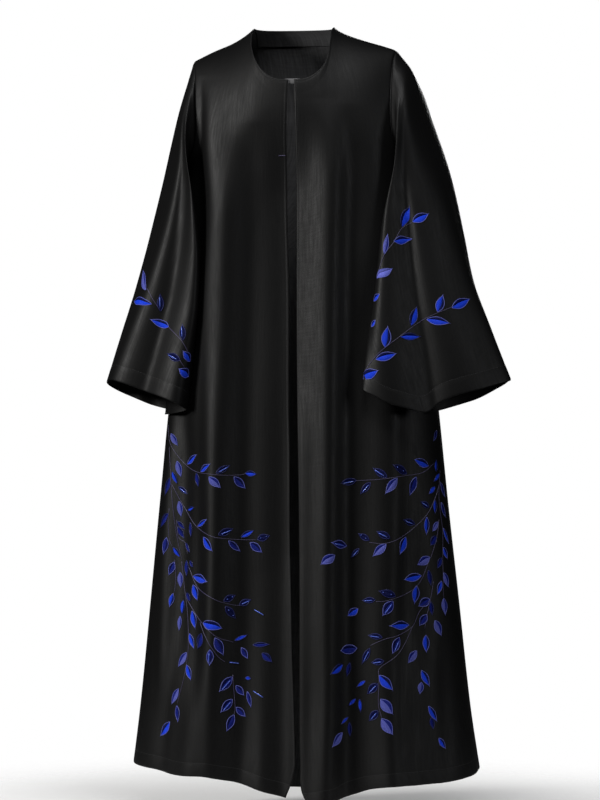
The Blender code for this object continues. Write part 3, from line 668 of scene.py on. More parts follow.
def front_top(side, columns):
    """Sideways place and depth along the top edge of a front panel, from its front edge out."""
    edge = smooth(FRONT_EDGES, NECK_DEPTH, 1 if side < 0 else 2)
    start = np.arcsin((abs(edge - NECK_CENTRE) / NECK_HALF_WIDTH) ** (NECK_POWER / 2))
    turn = start + (np.pi / 2 - start) * np.clip(columns / NECK_COLUMNS, 0, 1)
    depth = NECK_DEPTH * np.cos(turn) ** (2 / NECK_POWER)
    x = side * NECK_HALF_WIDTH * np.sin(turn) ** (2 / NECK_POWER) + NECK_CENTRE * ease(depth / NECK_DEPTH)
    along = np.clip(columns - NECK_COLUMNS, 0, None)
    seam_x, seam_depth = shoulder_line(side, along)
    on_seam = columns >= NECK_COLUMNS
    return np.where(on_seam, seam_x, x), np.where(on_seam, seam_depth, depth)


def back_top(columns):
    """Sideways place and depth along the top edge of the back panel, viewer's left to right."""
    from_middle = columns - BACK_COLUMNS / 2
    turn = np.clip(from_middle / BACK_NECK_COLUMNS, -1, 1) * np.pi / 2
    x, depth = NECK_HALF_WIDTH * np.sin(turn), -BACK_NECK_RISE * np.cos(turn) ** 2
    for side in (-1, 1):
        step = side * from_middle - BACK_NECK_COLUMNS
        seam_x, seam_depth = shoulder_line(side, np.clip(step, 0, None))
        x, depth = np.where(step >= 0, seam_x, x), np.where(step >= 0, seam_depth, depth)
    return x, depth


def front_grid(side, rows, columns):
    """Outer points of a front panel, rows from shoulder to hem and columns from its edge out."""
    top_x, top_depth = front_top(side, columns)
    u = columns / FRONT_COLUMNS
    hem = smooth(HEM_RIGHT_FRONT if side < 0 else HEM_LEFT_FRONT, u)
    share = share_grid(rows, u)
    depth = top_depth + (hem - top_depth) * share
    edge = angle_of(smooth(FRONT_EDGES, depth[:, :1], 1 if side < 0 else 2), depth[:, :1])
    last = side_angle(side, -1, rows)[:, None]
    top_share = (angle_of(top_x, top_depth) - edge[0]) / (last[0] - edge[0])
    spread = u + (top_share - u) * settle(share)
    hold = ease((1 - spread) * 90 / FOLDS_END_AT_SIDE)
    return body_point(edge + (last - edge) * spread, depth, -1, hold)


def back_grid(rows, columns):
    """Outer points of the back panel, rows from shoulder to hem, columns viewer's left to right."""
    top_x, top_depth = back_top(columns)
    u = 2 * columns / BACK_COLUMNS - 1
    share = share_grid(rows, u)
    depth = top_depth + (smooth(HEM_BACK, u) - top_depth) * share
    limits = np.where(u < 0, -side_angle(-1, 1, rows)[:, None], side_angle(1, 1, rows)[:, None])
    top_share = angle_of(top_x, top_depth) / limits[0]
    spread = u + (top_share - u) * settle(share)
    hold = ease((1 - np.abs(spread)) * 90 / FOLDS_END_AT_SIDE)
    return body_point(spread * limits, depth, 1, hold)


def clear_of_body(points, margin):
    """Push points that lie inside the body, or nearer than the margin, straight out of it."""
    x, y, depth = points[..., 0], points[..., 1], -points[..., 2]
    centre, half, front, back = ring_at(depth)
    reach = np.where(y < 0, front, back)
    reach = reach * np.maximum(shoulder_share(x, depth), LEAST_REACH)
    size = (np.abs((x - centre) / half) ** RING_POWER + np.abs(y / reach) ** RING_POWER) ** (1 / RING_POWER)
    height = np.where(y < 0, fold_height(FRONT_FOLDS, x, depth), fold_height(BACK_FOLDS, x, depth))
    angle = np.abs(np.arctan2(np.abs(x - centre) / half, np.abs(y) / reach))
    height = np.maximum(height, 0) * ease((np.pi / 2 - angle) * 180 / np.pi / FOLDS_END_AT_SIDE)
    span = np.hypot(x - centre, y)
    wanted = span / np.maximum(size, 1e-6) + height + margin
    grow = 1 + (np.maximum(wanted / np.maximum(span, 1e-6), 1) - 1) * ease((depth - CLEAR_FROM) / CLEAR_RAMP)
    moved = points.copy()
    moved[..., 0] = centre + (x - centre) * grow
    moved[..., 1] = y * grow
    return moved


def sleeve_section(side, share, turn):
    """Points of the sleeve tube before it is joined to the armhole."""
    table = SLEEVE_RIGHT if side < 0 else SLEEVE_LEFT
    read = [smooth(table, share, c) for c in range(1, 10)]
    centre, outer, front = [np.stack(read[i:i + 3], axis=-1) for i in (0, 3, 6)]
    degrees = np.degrees(turn)
    folds, creases = ((FOLDS_SLEEVE_RIGHT, CREASES_SLEEVE_RIGHT) if side < 0
                      else (FOLDS_SLEEVE_LEFT, CREASES_SLEEVE_LEFT))
    height = fold_height(folds, degrees, share) + crease_height(creases, degrees, share, SLEEVE_CREASE_FADE)
    wide, deep = SLEEVE_RIPPLE
    height = height + ripple(np.cos(turn) * wide, share * SLEEVE_LENGTH + np.sin(turn) * deep, 2.0 + side)
    ring = np.cos(turn)[..., None] * outer + np.sin(turn)[..., None] * front
    points = centre + ring + unit(ring) * height[..., None]
    lift = smooth(CUFF_RIGHT if side < 0 else CUFF_LEFT, degrees)
    points[..., 2] += lift * np.clip((share - CUFF_FROM) / (1 - CUFF_FROM), 0, 1) ** 2
    return points


def armhole_ring(side, turn):
    """Armhole loop from the shoulder end, down the front, under the arm and up the back."""
    place = turn / (2 * np.pi) * 2 * ARM_ROWS
    row = np.where(place > ARM_ROWS, 2 * ARM_ROWS - place, place)
    top = -smooth(RIDGE, SHOULDER_END[side] * side)
    depth = top + (SIDE_HEM[side] - top) * smooth(side_table(side), row, 1)
    front = body_point(side_angle(side, -1, row), depth, -1, 0)
    back = body_point(side_angle(side, 1, row), depth, 1, 0)
    return np.where((place > ARM_ROWS)[..., None], back, front)


def sleeve_grid(side, shares, turns):
    """Outer points of a sleeve, rows from armhole to cuff, columns round the tube."""
    armhole = armhole_ring(side, turns)
    share, turn = np.meshgrid(shares, turns, indexing="ij")
    tube = sleeve_section(side, share, turn)
    start = sleeve_section(side, 0 * turn[:1], turn[:1])
    pull = np.clip(1 - share / SLEEVE_SETTLE, 0, 1)[..., None] ** 2
    grid = tube + (armhole - start) * pull
    margin = SLEEVE_CLEAR * ease(share / CLEAR_FIRST)
    margin = margin * (CLEAR_SHARE + (1 - CLEAR_SHARE) * ease(share / CLEAR_FULL))
    grid = clear_of_body(grid, margin)
    grid[0] = armhole
    return grid


def run_from(grid, axis, from_end=False):
    """Distance of each point from the first or last one of its row or column, along the cloth."""
    step = np.linalg.norm(np.diff(grid, axis=axis), axis=-1)
    shape = list(step.shape)
    shape[axis] = 1
    run = np.concatenate([np.zeros(shape), np.cumsum(step, axis=axis)], axis=axis)
    return np.take(run, [-1], axis=axis) - run if from_end else run


def outward(grid, wrap, core):
    """Unit directions out of the cloth's hollow side, from the grid's own slopes."""
    if wrap:
        around = np.roll(grid, -1, axis=1) - np.roll(grid, 1, axis=1)
    else:
        around = np.gradient(grid, axis=1)
    normal = unit(np.cross(around, np.gradient(grid, axis=0)))
    facing = np.median(np.sum(normal * (grid - core), axis=-1))
    return -normal if facing < 0 else normal


def body_core(grid):
    """Middle line of the body at each point's height."""
    core = np.zeros_like(grid)
    core[..., 0] = smooth(BODY_RINGS, -grid[..., 2], 1)
    core[..., 2] = grid[..., 2] - CORE_DROP
    return core


def column_steps(count, last, size):
    """Even column steps from 0 to last, with extra ones close to both edges."""
    near = NEAR_EDGE / size
    return np.concatenate([near, np.linspace(near[-1], last - near[-1], count + 2)[1:-1], last - near[::-1]])


def row_steps(count, gap):
    """Row steps from shoulder to hem, with extra ones close to both and a gap above the last ones."""
    hem = ROWS - NEAR_HEM[::-1] / ROW_SIZE
    even = np.linspace(FIRST_EVEN_ROW, hem[0] - gap, count, endpoint=gap > 0)
    return np.concatenate([NEAR_TOP, even, hem])


def grid_faces(rows, columns, wrap, flip):
    """Quads over a grid of points."""
    faces = []
    for r in range(rows - 1):
        for c in range(columns if wrap else columns - 1):
            a, b = r * columns + c, r * columns + (c + 1) % columns
            faces.append((a, a + columns, b + columns, b))
    return [face[::-1] for face in faces] if flip else faces


class Cloth:
    """A fine cloth grid with its outward directions, lifted at its seams and edges."""

    def __init__(self, grid, wrap, core, lift):
        self.wrap = wrap
        out = outward(grid, wrap, core)
        self.grid = grid + out * lift[..., None]
        self.out = outward(self.grid, wrap, core)
        self.across = run_from(grid, 1)
        self.down = run_from(grid, 0)

    def faces(self):
        """Quads over the grid that face out of the hollow side."""
        rows, columns = self.grid.shape[:2]
        r, c = rows // 2, columns // 2
        normal = np.cross(self.grid[r + 1, c] - self.grid[r, c], self.grid[r, c + 1] - self.grid[r, c])
        return grid_faces(rows, columns, self.wrap, np.dot(normal, self.out[r, c]) < 0)

    def line(self, distance, axis, from_end):
        """Points and outward directions of the line that keeps a distance from an edge."""
        run = run_from(self.grid, axis, from_end)
        grid, out = self.grid, self.out
        if axis == 1:
            run, grid, out = run.T, grid.transpose(1, 0, 2), out.transpose(1, 0, 2)
        if from_end:
            run, grid, out = run[::-1], grid[::-1], out[::-1]
        points, ways = (np.array([[np.interp(distance, run[:, k], part[:, k, c]) for c in range(3)]
                                  for k in range(run.shape[1])]) for part in (grid, out))
        if self.wrap and axis == 0:
            points, ways = np.vstack([points, points[:1]]), np.vstack([ways, ways[:1]])
        return points, unit(ways)


def body_cloth(grid, first_lift, in_neck):
    """Body panel lifted at its first edge, its other seams, its neck line and its hem."""
    top = run_from(grid, 0)
    lift = smooth(first_lift, run_from(grid, 1)) + smooth(SEAM_LIFT, run_from(grid, 1, True))
    lift = lift + smooth(HEM_LIFT, run_from(grid, 0, True))
    lift = lift + np.where(in_neck, smooth(NECK_LIFT, top), smooth(SEAM_LIFT, top))
    return Cloth(grid, False, body_core(grid), lift)


def front_cloth(side):
    """Fine grid of one front panel."""
    columns = column_steps(FRONT_COLUMN_STEPS, FRONT_COLUMNS, FRONT_COLUMN_SIZE)
    grid = front_grid(side, row_steps(BODY_ROW_STEPS + 1, 0), columns)
    return body_cloth(grid, FRONT_EDGE_LIFT, columns < NECK_COLUMNS)


def back_cloth():
    """Fine grid of the back panel."""
    columns = column_steps(BACK_COLUMN_STEPS, BACK_COLUMNS, BACK_COLUMN_SIZE)
    grid = back_grid(row_steps(BODY_ROW_STEPS, 0.1), columns)
    return body_cloth(grid, SEAM_LIFT, np.abs(columns - BACK_COLUMNS / 2) < BACK_NECK_COLUMNS)


def sleeve_cloth(side):
    """Fine grid of one sleeve."""
    even = np.linspace(*SLEEVE_EVEN_ROWS, SLEEVE_ROW_STEPS)
    shares = np.concatenate([NEAR_ARMHOLE / SLEEVE_LENGTH, even, 1 - NEAR_CUFF[::-1] / SLEEVE_LENGTH])
    turns = np.linspace(0, 2 * np.pi, SLEEVE_COLUMN_STEPS + 1)[:-1]
    grid = sleeve_grid(side, shares, turns)
    under = run_from(grid, 1)
    seam = under[:, SLEEVE_COLUMN_STEPS // 2][:, None]
    lift = smooth(SEAM_LIFT, run_from(grid, 0)) + smooth(CUFF_LIFT, run_from(grid, 0, True))
    lift = lift + smooth(SEAM_LIFT, np.abs(under - seam))
    return Cloth(grid, True, grid.mean(axis=1, keepdims=True) + 0 * grid, lift)


@functools.cache
def cloth_of(name):
    """Fine cloth grid of a panel by its name, worked out once."""
    if name == "back":
        return back_cloth()
    side = -1 if name.endswith("right") else 1
    return front_cloth(side) if name.startswith("front") else sleeve_cloth(side)


class Wire:
    """A socket of a material that can be used like a number."""

    def __init__(self, paint, socket):
        self.paint = paint
        self.socket = socket

    def join(self, operation, first, second):
        """Add one Math node."""
        return self.paint.add("ShaderNodeMath", {"operation": operation}, {0: first, 1: second})

    def __add__(self, other):
        return self.join("ADD", self, other)

    __radd__ = __add__

    def __sub__(self, other):
        return self.join("SUBTRACT", self, other)

    def __rsub__(self, other):
        return self.join("SUBTRACT", other, self)

    def __mul__(self, other):
        return self.join("MULTIPLY", self, other)

    __rmul__ = __mul__


class Paint:
    """One material and its nodes."""

    def __init__(self, name):
        self.material = bpy.data.materials.new(name)
        self.material.use_nodes = True
        self.tree = self.material.node_tree
        self.shader = self.tree.nodes["Principled BSDF"]

    def add(self, kind, settings=None, sockets=None, out=0):
        """Add a node: its settings first, then the values or links of its sockets."""
        node = self.tree.nodes.new(kind)
        for key, value in (settings or {}).items():
            setattr(node, key, value)
        for key, value in (sockets or {}).items():
            self.plug(node.inputs[key], value)
        return Wire(self, node.outputs[out])

    def plug(self, socket, value):
        """Link a wire to a socket, or set the socket's value."""
        if isinstance(value, Wire):
            self.tree.links.new(value.socket, socket)
        else:
            socket.default_value = value

    def finish(self, sockets):
        """Fill the shader's own sockets."""
        for key, value in sockets.items():
            self.plug(self.shader.inputs[key], value)
        return self.material

    def place(self, name, scale):
        """Coordinates that a mesh carries, stretched."""
        read = self.add("ShaderNodeAttribute", {"attribute_name": name}, out="Vector")
        return self.add("ShaderNodeVectorMath", {"operation": "MULTIPLY"}, {0: read, 1: scale})

    def noise(self, where, scale, detail=2.0, roughness=0.5):
        """Soft random pattern from 0 to 1."""
        sockets = {"Vector": where, "Scale": scale, "Detail": detail, "Roughness": roughness}
        return self.add("ShaderNodeTexNoise", None, sockets)

    def blend(self, share, first, second):
        """Mix two colours."""
        sockets = {"Factor": share, 6: first, 7: second}
        return self.add("ShaderNodeMix", {"data_type": "RGBA"}, sockets, out=2)

    def bump(self, height, distance, strength=1.0):
        """Raise the surface by a pattern, distance in metres."""
        sockets = {"Height": height, "Distance": distance, "Strength": strength}
        return self.add("ShaderNodeBump", None, sockets)


def crepe_pattern(paint):
    """Dark crepe: fine crossed threads, uneven thicker threads and a soft lustre."""
    slub_down = paint.noise(paint.place("grain", SLUBS_DOWN), 1.0, 3.0, 0.6)
    slub_across = paint.noise(paint.place("grain", SLUBS_ACROSS), 1.0, 3.0, 0.6)
    grain = paint.noise(paint.place("grain", CREPE_GRAIN), 1.0, 1.0, 0.5)
    cloudy = paint.noise(paint.place("grain", CREPE_CLOUDS), 1.0, 3.0, 0.6)
    slubs = slub_down * 0.72 + slub_across * 0.28
    thread = slubs * 0.75 + grain * 0.25
    share = paint.add("ShaderNodeMapRange", {"clamp": True},
                      {"Value": thread * 0.8 + cloudy * 0.2, "From Min": 0.4, "From Max": 0.6})
    return share, -0.14 * share, {"Normal": paint.bump(thread, CREPE_RELIEF, 0.5)}


def satin_pattern(paint):
    """Satin thread laid side by side: ridges across the leaf, and a colour darker in the grooves between them
    as painted shade, with soft random streaks.
    """
    where = paint.place("thread", SATIN_THREADS)
    ridge = paint.add("ShaderNodeTexWave", {"bands_direction": "DIAGONAL"},
                      {"Vector": where, "Scale": 1.0, "Distortion": 0.6, "Detail": 1.0}, out=1)
    # The darker colour follows the grooves between ridges as painted shade, mixed with random streaks
    share = ridge * 0.45 + paint.noise(where, 1.3, 2.0, 0.6) * 0.55
    return share, 0.15 * (1 - ridge), {"Normal": paint.bump(ridge, SATIN_RELIEF, 0.5)}


def thread_pattern(paint):
    """Fine sewing thread with a twist."""
    twist = paint.noise(paint.add("ShaderNodeTexCoord", out="Object"), THREAD_TWIST, 1.0, 0.5)
    return twist, 0.1 * twist, {"Normal": paint.bump(twist, THREAD_RELIEF, 0.5)}


def bead_pattern(paint):
    """Bright cut glass bead with a silvery lining."""
    streak = paint.noise(paint.add("ShaderNodeTexCoord", out="Object"), BEAD_STREAKS, 1.0, 0.5)
    return streak, 0.15 * streak, {"Metallic": 0.2, "Coat Weight": 0.3}


PATTERNS = {"crepe": crepe_pattern, "satin": satin_pattern, "thread": thread_pattern, "bead": bead_pattern}


def tinted(colour, share):
    """A colour made darker or lighter."""
    return [min(share * c, 1.0) for c in colour[:3]] + [1.0]


@functools.cache
def finish_named(name):
    """Each finish is made once, from the colours in the panel."""
    look = bpy.context.scene.abaya_look
    how, low, low_share, high, high_share, roughness, gloss = FINISHES[name]
    paint = Paint(name)
    share, gain, sockets = PATTERNS[how](paint)
    first, second = tinted(getattr(look, low), low_share), tinted(getattr(look, high), high_share)
    colour = paint.blend(share, first, second)
    return paint.finish({"Base Color": colour, "Roughness": roughness + gain, "Specular IOR Level": gloss,
                         **sockets})


def link_mesh(name, points, faces, finishes, face_finish=None, attributes=None):
    """Make one smooth piece from millimetre points and let it ride on the cloak."""
    mesh = bpy.data.meshes.new(name)
    mesh.from_pydata((np.asarray(points) * MM).tolist(), [], faces)
    for finish in finishes:
        mesh.materials.append(finish_named(finish))
    if face_finish is not None:
        mesh.polygons.foreach_set("material_index", np.asarray(face_finish, dtype=np.int32))
    for key, values in (attributes or {}).items():
        layer = mesh.attributes.new(key, "FLOAT_VECTOR", "POINT")
        layer.data.foreach_set("vector", np.asarray(values, dtype=np.float32).ravel())
    mesh.update()
    mesh.shade_smooth()
    piece = bpy.data.objects.new(name, mesh)
    bpy.context.scene.collection.objects.link(piece)
    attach(piece, BODY)
    return piece


def sew_panel(node, cloth, finish):
    """Make a panel's cloth: its outer face, with the thickness added inward."""
    name = node + "_cloth"
    grain = np.stack([cloth.across, cloth.down, 0 * cloth.down + len(name)], axis=-1) * MM
    # The back's inner face is painted lighter: partly its matte wrong side, partly painted light
    finishes = [finish, "crepe_inside" if node == "back" else finish]
    piece = link_mesh(name, cloth.grid.reshape(-1, 3), cloth.faces(), finishes, attributes={"grain": grain})
    thick = piece.modifiers.new("thickness", "SOLIDIFY")
    thick.thickness = bpy.context.scene.abaya_look.cloth_thickness
    thick.offset = -1
    thick.material_offset = 1
    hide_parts(node)


def ring_faces(rings, sides, base=0):
    """Quads between rings of points, with both ends closed."""
    last = base + (rings - 1) * sides
    faces = []
    for a in range(base, last):
        b = a + 1 if (a + 1 - base) % sides else a + 1 - sides
        faces.append((a, b, b + sides, a + sides))
    return faces + [tuple(range(base, base + sides))[::-1], tuple(range(last, last + sides))]


def dashes(points, ways):
    """Short raised stitches along a line: their points and faces."""
    length, gap, radius = STITCH_SIZES
    run = np.concatenate([[0], np.cumsum(np.linalg.norm(np.diff(points, axis=0), axis=1))])
    starts = np.arange(gap, run[-1] - length - gap, length + gap)
    places = starts[:, None] + np.array((0, 0.5, 1)) * length
    middle, out = (np.stack([np.interp(places, run, part[:, c]) for c in range(3)], axis=-1)
                   for part in (points, ways))
    out = unit(out)
    side = unit(np.cross(unit(middle[:, 2:] - middle[:, :1]), out))
    rings = [out * (up * STITCH_HEIGHT + STITCH_SEAT) + side * over
             for up, over in ((1, 0), (0, 1), (-1, 0), (0, -1))]
    sizes = radius * np.array(STITCH_SHAPE)[:, None, None]
    vertices = (middle[:, :, None] + np.stack(rings, axis=2) * sizes).reshape(-1, 3)
    return vertices, [face for k in range(len(starts)) for face in ring_faces(3, 4, 12 * k)]


def tube(points, ways, radii, sides):
    """Round cord along a line: its points and faces, ends closed. One outward way may serve all points."""
    radii = np.asarray(radii, dtype=float)
    along = unit(np.gradient(points, axis=0))
    side = unit(np.cross(along, ways))
    up = unit(np.cross(side, along))
    turn = np.linspace(0, 2 * np.pi, sides + 1)[:-1]
    ring = np.cos(turn)[None, :, None] * up[:, None] + np.sin(turn)[None, :, None] * side[:, None]
    vertices = (points[:, None] + ring * radii[:, None, None]).reshape(-1, 3)
    return vertices, ring_faces(len(points), sides)


class Heap:
    """Gathers many small meshes into one."""

    def __init__(self):
        self.points = []
        self.faces = []
        self.finish = []
        self.thread = []
        self.count = 0

    def add(self, points, faces, finish=0, thread=None):
        """Add one small mesh with a finish number and, for satin, its thread coordinates."""
        points = np.asarray(points, dtype=float).reshape(-1, 3)
        self.points.append(points)
        self.faces += [tuple(i + self.count for i in face) for face in faces]
        self.finish += [finish] * len(faces)
        self.thread.append(np.zeros_like(points) if thread is None else np.asarray(thread))
        self.count += len(points)

    def make(self, name, finishes):
        """Make the gathered meshes one piece, and raise if there are none."""
        if not self.points:
            raise ValueError(f"nothing was gathered for {name}")
        return link_mesh(name, np.concatenate(self.points), self.faces, finishes, self.finish,
                         {"thread": np.concatenate(self.thread)})


@functools.cache
def cloth_tree(name):
    """Search tree of a panel's outer face, in millimetres."""
    cloth = cloth_of(name)
    return BVHTree.FromPolygons(cloth.grid.reshape(-1, 3).tolist(), cloth.faces())


def through(points, spacing):
    """Smooth flat curve through a few points, sampled at about even spacing."""
    points = np.asarray(points, dtype=float)
    padded = np.vstack([2 * points[0] - points[1], points, 2 * points[-1] - points[-2]])
    samples = []
    for a, b, c, d in zip(padded, padded[1:], padded[2:], padded[3:]):
        count = max(2, int(np.linalg.norm(c - b) / spacing))
        for t in np.arange(count) / count:
            samples.append(0.5 * (2 * b + (c - a) * t + (2 * a - 5 * b + 4 * c - d) * t * t
                                  + (3 * b - a - 3 * c + d) * t ** 3))
    samples.append(points[-1])
    return np.array(samples)


def view_ways():
    """Directions to the right of and away from the camera, and its place in millimetres."""
    turn = math.radians(VIEW_AZIMUTH)
    right = Vector((math.cos(turn), math.sin(turn), 0))
    away = Vector((-math.sin(turn), math.cos(turn), 0))
    eye = (right * VIEW_SIDEWAYS + Vector((0, 0, VIEW_HEIGHT)) - away * VIEW_DISTANCE) / MM
    return right, away, eye


def laid_on(tree, seen):
    """Points and outward directions on the cloth at places seen from the camera."""
    right, _, eye = view_ways()
    points, ways = [], []
    for across, down in seen:
        point, normal, _, _ = tree.ray_cast(eye, right * across - Vector((0, 0, down)) - eye)
        if point is not None:
            points.append(point)
            ways.append(normal)
    return np.array(points), np.array(ways)


def on_cloth(tree, place, other):
    """The place itself, or the nearest one towards the other end that lies on the cloth."""
    for share in np.linspace(0, 0.8, 17):
        seen = np.array(place) + (np.array(other) - np.array(place)) * share
        if len(laid_on(tree, [seen])[0]):
            return seen
    raise ValueError(f"a leaf near {place} lies off the cloth")


def settle_on(tree, places, heights):
    """Move points onto the cloth and then out by their heights, or all by one height."""
    points, ways = zip(*(tree.find_nearest(Vector(place))[:2] for place in places))
    return np.array(points) + np.array(ways) * np.reshape(heights, (-1, 1))


def sew_rod(beads, tree, first, last, out, height):
    """Sew one glass rod between two places."""
    shares = np.linspace(0, 1, len(ROD_SHAPE))[:, None]
    line = settle_on(tree, first + (last - first) * shares, height)
    beads.add(*tube(line, out, ROD_RADIUS * np.array(ROD_SHAPE), BEAD_SIDES))


def sew_drop(beads, tree, place, way, out):
    """Sew one small round bead."""
    angles = np.linspace(-np.pi / 2, np.pi / 2, DROP_STEPS)
    line = settle_on(tree, [place], DROP_HEIGHT) + way * (np.sin(angles) * DROP_RADIUS)[:, None]
    beads.add(*tube(line, out, np.maximum(np.cos(angles), DROP_END) * DROP_RADIUS, BEAD_SIDES))


def sew_leaf(leaves, beads, tree, foot, tip, out, width, kind):
    """Sew one pointed leaf: a narrow and a wide satin half, mostly one painted in shade and one painted lit,
    an outline cord with a tail, and beads.
    """
    narrow, wide, cord, extra = LEAF_KINDS[kind]
    way = unit(tip - foot)
    length = np.linalg.norm(tip - foot)
    if not cord:
        sew_rod(beads, tree, foot, tip, out, ROD_HEIGHT)
        return
    side = unit(np.cross(out, way))
    turn = 1 if np.dot(side, LIT_SIDE) > 0 else -1
    side = side * turn
    _, away, _ = view_ways()
    width = width / max(np.linalg.norm(side - np.array(away) * np.dot(side, away)), LEAST_SEEN)
    swell = np.sin(np.pi * LEAF_SHARES ** LEAF_POINT)[:, None] * width / 2
    run = LEAF_SHARES[:, None] * length * LEAF_BODY
    # Each half takes its own finish: the darker one is painted shade, the lighter one painted lit satin
    for hand, finish in ((1, narrow), (-1, wide)):
        across = (MIDRIB_SHIFT + (hand - MIDRIB_SHIFT) * HALF_SHARES[None, :]) * swell
        places = foot + way * run[..., None] + side * across[..., None]
        crown = np.sqrt(np.clip(1 - (2 * HALF_SHARES - 1) ** 2, 0, 1))[None, :] * LEAF_CROWN
        heights = crown * (2 * swell / width) ** 0.5 + LEAF_LIFT
        points = settle_on(tree, places.reshape(-1, 3), heights.ravel())
        thread = np.stack([run + 0 * across, np.abs(across), 0 * across], axis=-1)
        faces = grid_faces(len(LEAF_SHARES), len(HALF_SHARES), False, hand * turn < 0)
        leaves.add(points, faces, LEAF_FINISHES.index(finish), thread.reshape(-1, 3) * MM)
        edge = foot + way * run + side * hand * swell
        radii = CORD_RADIUS * np.ones(len(edge))
        if hand > 0:
            edge = np.vstack([edge, [tip]])
            radii = np.append(radii, CORD_END * CORD_RADIUS)
        line = settle_on(tree, edge, CORD_RADIUS * CORD_SEAT)
        leaves.add(*tube(line, out, radii, CORD_SIDES), LEAF_FINISHES.index(cord))
    if extra == "rod":
        middle = foot + way * length * 0.5 - side * width * ROD_SHIFT
        reach = way * length * ROD_SHARE / 2
        sew_rod(beads, tree, middle - reach, middle + reach, out, ROD_HEIGHT_ON_LEAF)
    if extra == "drops":
        for share in DROP_SHARES:
            sew_drop(beads, tree, foot + way * length * share, way, out)


def sew_panel_leaves(name, look):
    """Sew the stems and leaves of one panel."""
    leaves, stems, beads = Heap(), Heap(), Heap()
    tree = cloth_tree(name)
    radius = look.stem_width / MM / 2
    for places in STEMS[name]:
        points, ways = laid_on(tree, through(places, STEM_STEP))
        radii = radius * np.linspace(1.0, STEM_END, len(points))
        stems.add(*tube(points + ways * radius * STEM_SEAT, ways, radii, STEM_SIDES))
    for x0, y0, x1, y1, width, kind in LEAVES[name]:
        foot, tip = on_cloth(tree, (x0, y0), (x1, y1)), on_cloth(tree, (x1, y1), (x0, y0))
        points, ways = laid_on(tree, [foot, tip, (foot + tip) / 2])
        sew_leaf(leaves, beads, tree, points[0], points[1], ways[2], width * look.leaf_size, kind)
    leaves.make("leaves_" + name, list(LEAF_FINISHES))
    stems.make("stems_" + name, ["stem_thread"])
    if beads.points:
        beads.make("beads_" + name, ["bugle_bead"])


def length_setting(name, description, default, low, high):
    """A length in metres that a user may change."""
    return FloatProperty(name=name, description=description, default=default, min=low, max=high,
                         unit="LENGTH", precision=4)


def colour_setting(name, description, *default):
    """A colour that a user may change."""
    return FloatVectorProperty(name=name, description=description, default=(*default, 1.0), size=4,
                               min=0, max=1, subtype="COLOR")


class ABAYA_PG_look(bpy.types.PropertyGroup):
    """Sizes and colours of the cloak that a user may change."""

    cloth_thickness: length_setting("Cloth thickness", "Thickness of the cloth", 0.001, 0.0003, 0.003)
    leaf_size: FloatProperty(
        name="Leaf width share", description="Share of its charted width that a leaf gets", default=1.0,
        min=0.5, max=1.5, subtype="FACTOR")
    stem_width: length_setting("Stem width", "Width of the stitched stems", 0.0012, 0.0005, 0.005)
    cloth: colour_setting("Cloth", "Colour of the cloth between its threads", 0.0004, 0.0004, 0.00045)
    cloth_light: colour_setting("Cloth thread", "Colour of the raised threads", 0.003, 0.003, 0.0032)
    # Much lighter than the outer cloth: partly the matte wrong side, partly painted light standing in for
    # light that reaches inside the cloak
    cloth_inside: colour_setting("Cloth inside", "Colour of the dull inner face", 0.05, 0.05, 0.052)
    royal_leaf: colour_setting("Royal leaf", "Bright blue satin thread", 0.012, 0.06, 0.82)
    deep_leaf: colour_setting("Deep leaf", "Deep blue satin thread", 0.007, 0.015, 0.21)
    violet_leaf: colour_setting("Violet leaf", "Violet blue thread", 0.105, 0.12, 0.47)
    stem: colour_setting("Stem", "Dusky violet stem thread", 0.06, 0.05, 0.12)
    bead: colour_setting("Bead", "Glass bead", 0.12, 0.2, 0.85)
    sewing: colour_setting("Sewing thread", "Thread of hems and edges", 0.02, 0.02, 0.022)


class ABAYA_OT_fronts(bpy.types.Operator):
    """Cloth of the two front panels"""

    bl_idname = "abaya.fronts"
    bl_label = "Front panels"

    def execute(self, context):
        for name in ("front_right", "front_left"):
            sew_panel(name, cloth_of(name), "crepe")
        return {"FINISHED"}


class ABAYA_OT_back(bpy.types.Operator):
    """Cloth of the back panel"""

    bl_idname = "abaya.back"
    bl_label = "Back panel"

    def execute(self, context):
        sew_panel("back", cloth_of("back"), "crepe")
        return {"FINISHED"}


class ABAYA_OT_sleeves(bpy.types.Operator):
    """Cloth of the two wide sleeves"""

    bl_idname = "abaya.sleeves"
    bl_label = "Sleeves"

    def execute(self, context):
        for name in ("sleeve_right", "sleeve_left"):
            sew_panel(name, cloth_of(name), "crepe")
        return {"FINISHED"}


class ABAYA_OT_neck(bpy.types.Operator):
    """Facing inside the back neck and the tab that closes the front"""

    bl_idname = "abaya.neck"
    bl_label = "Neck facing and tab"

    def execute(self, context):
        make_facing()
        make_tab()
        return {"FINISHED"}


class ABAYA_OT_stitches(bpy.types.Operator):
    """Stitching of hems, edges and cuffs, and the small tack on the chest"""

    bl_idname = "abaya.stitches"
    bl_label = "Stitching"

    def execute(self, context):
        make_stitches()
        make_tack()
        return {"FINISHED"}


class ABAYA_OT_leaves(bpy.types.Operator):
    """Satin stitched leaves, stems and glass beads"""

    bl_idname = "abaya.leaves"
    bl_label = "Embroidered leaves"

    def execute(self, context):
        for name in LEAVES:
            sew_panel_leaves(name, context.scene.abaya_look)
        return {"FINISHED"}


class ABAYA_OT_stage(bpy.types.Operator):
    """Plain pale floor, soft studio light and the camera"""

    bl_idname = "abaya.stage"
    bl_label = "Stage"

    def execute(self, context):
        make_floor()
        make_lights()
        make_world()
        make_camera()
        return {"FINISHED"}


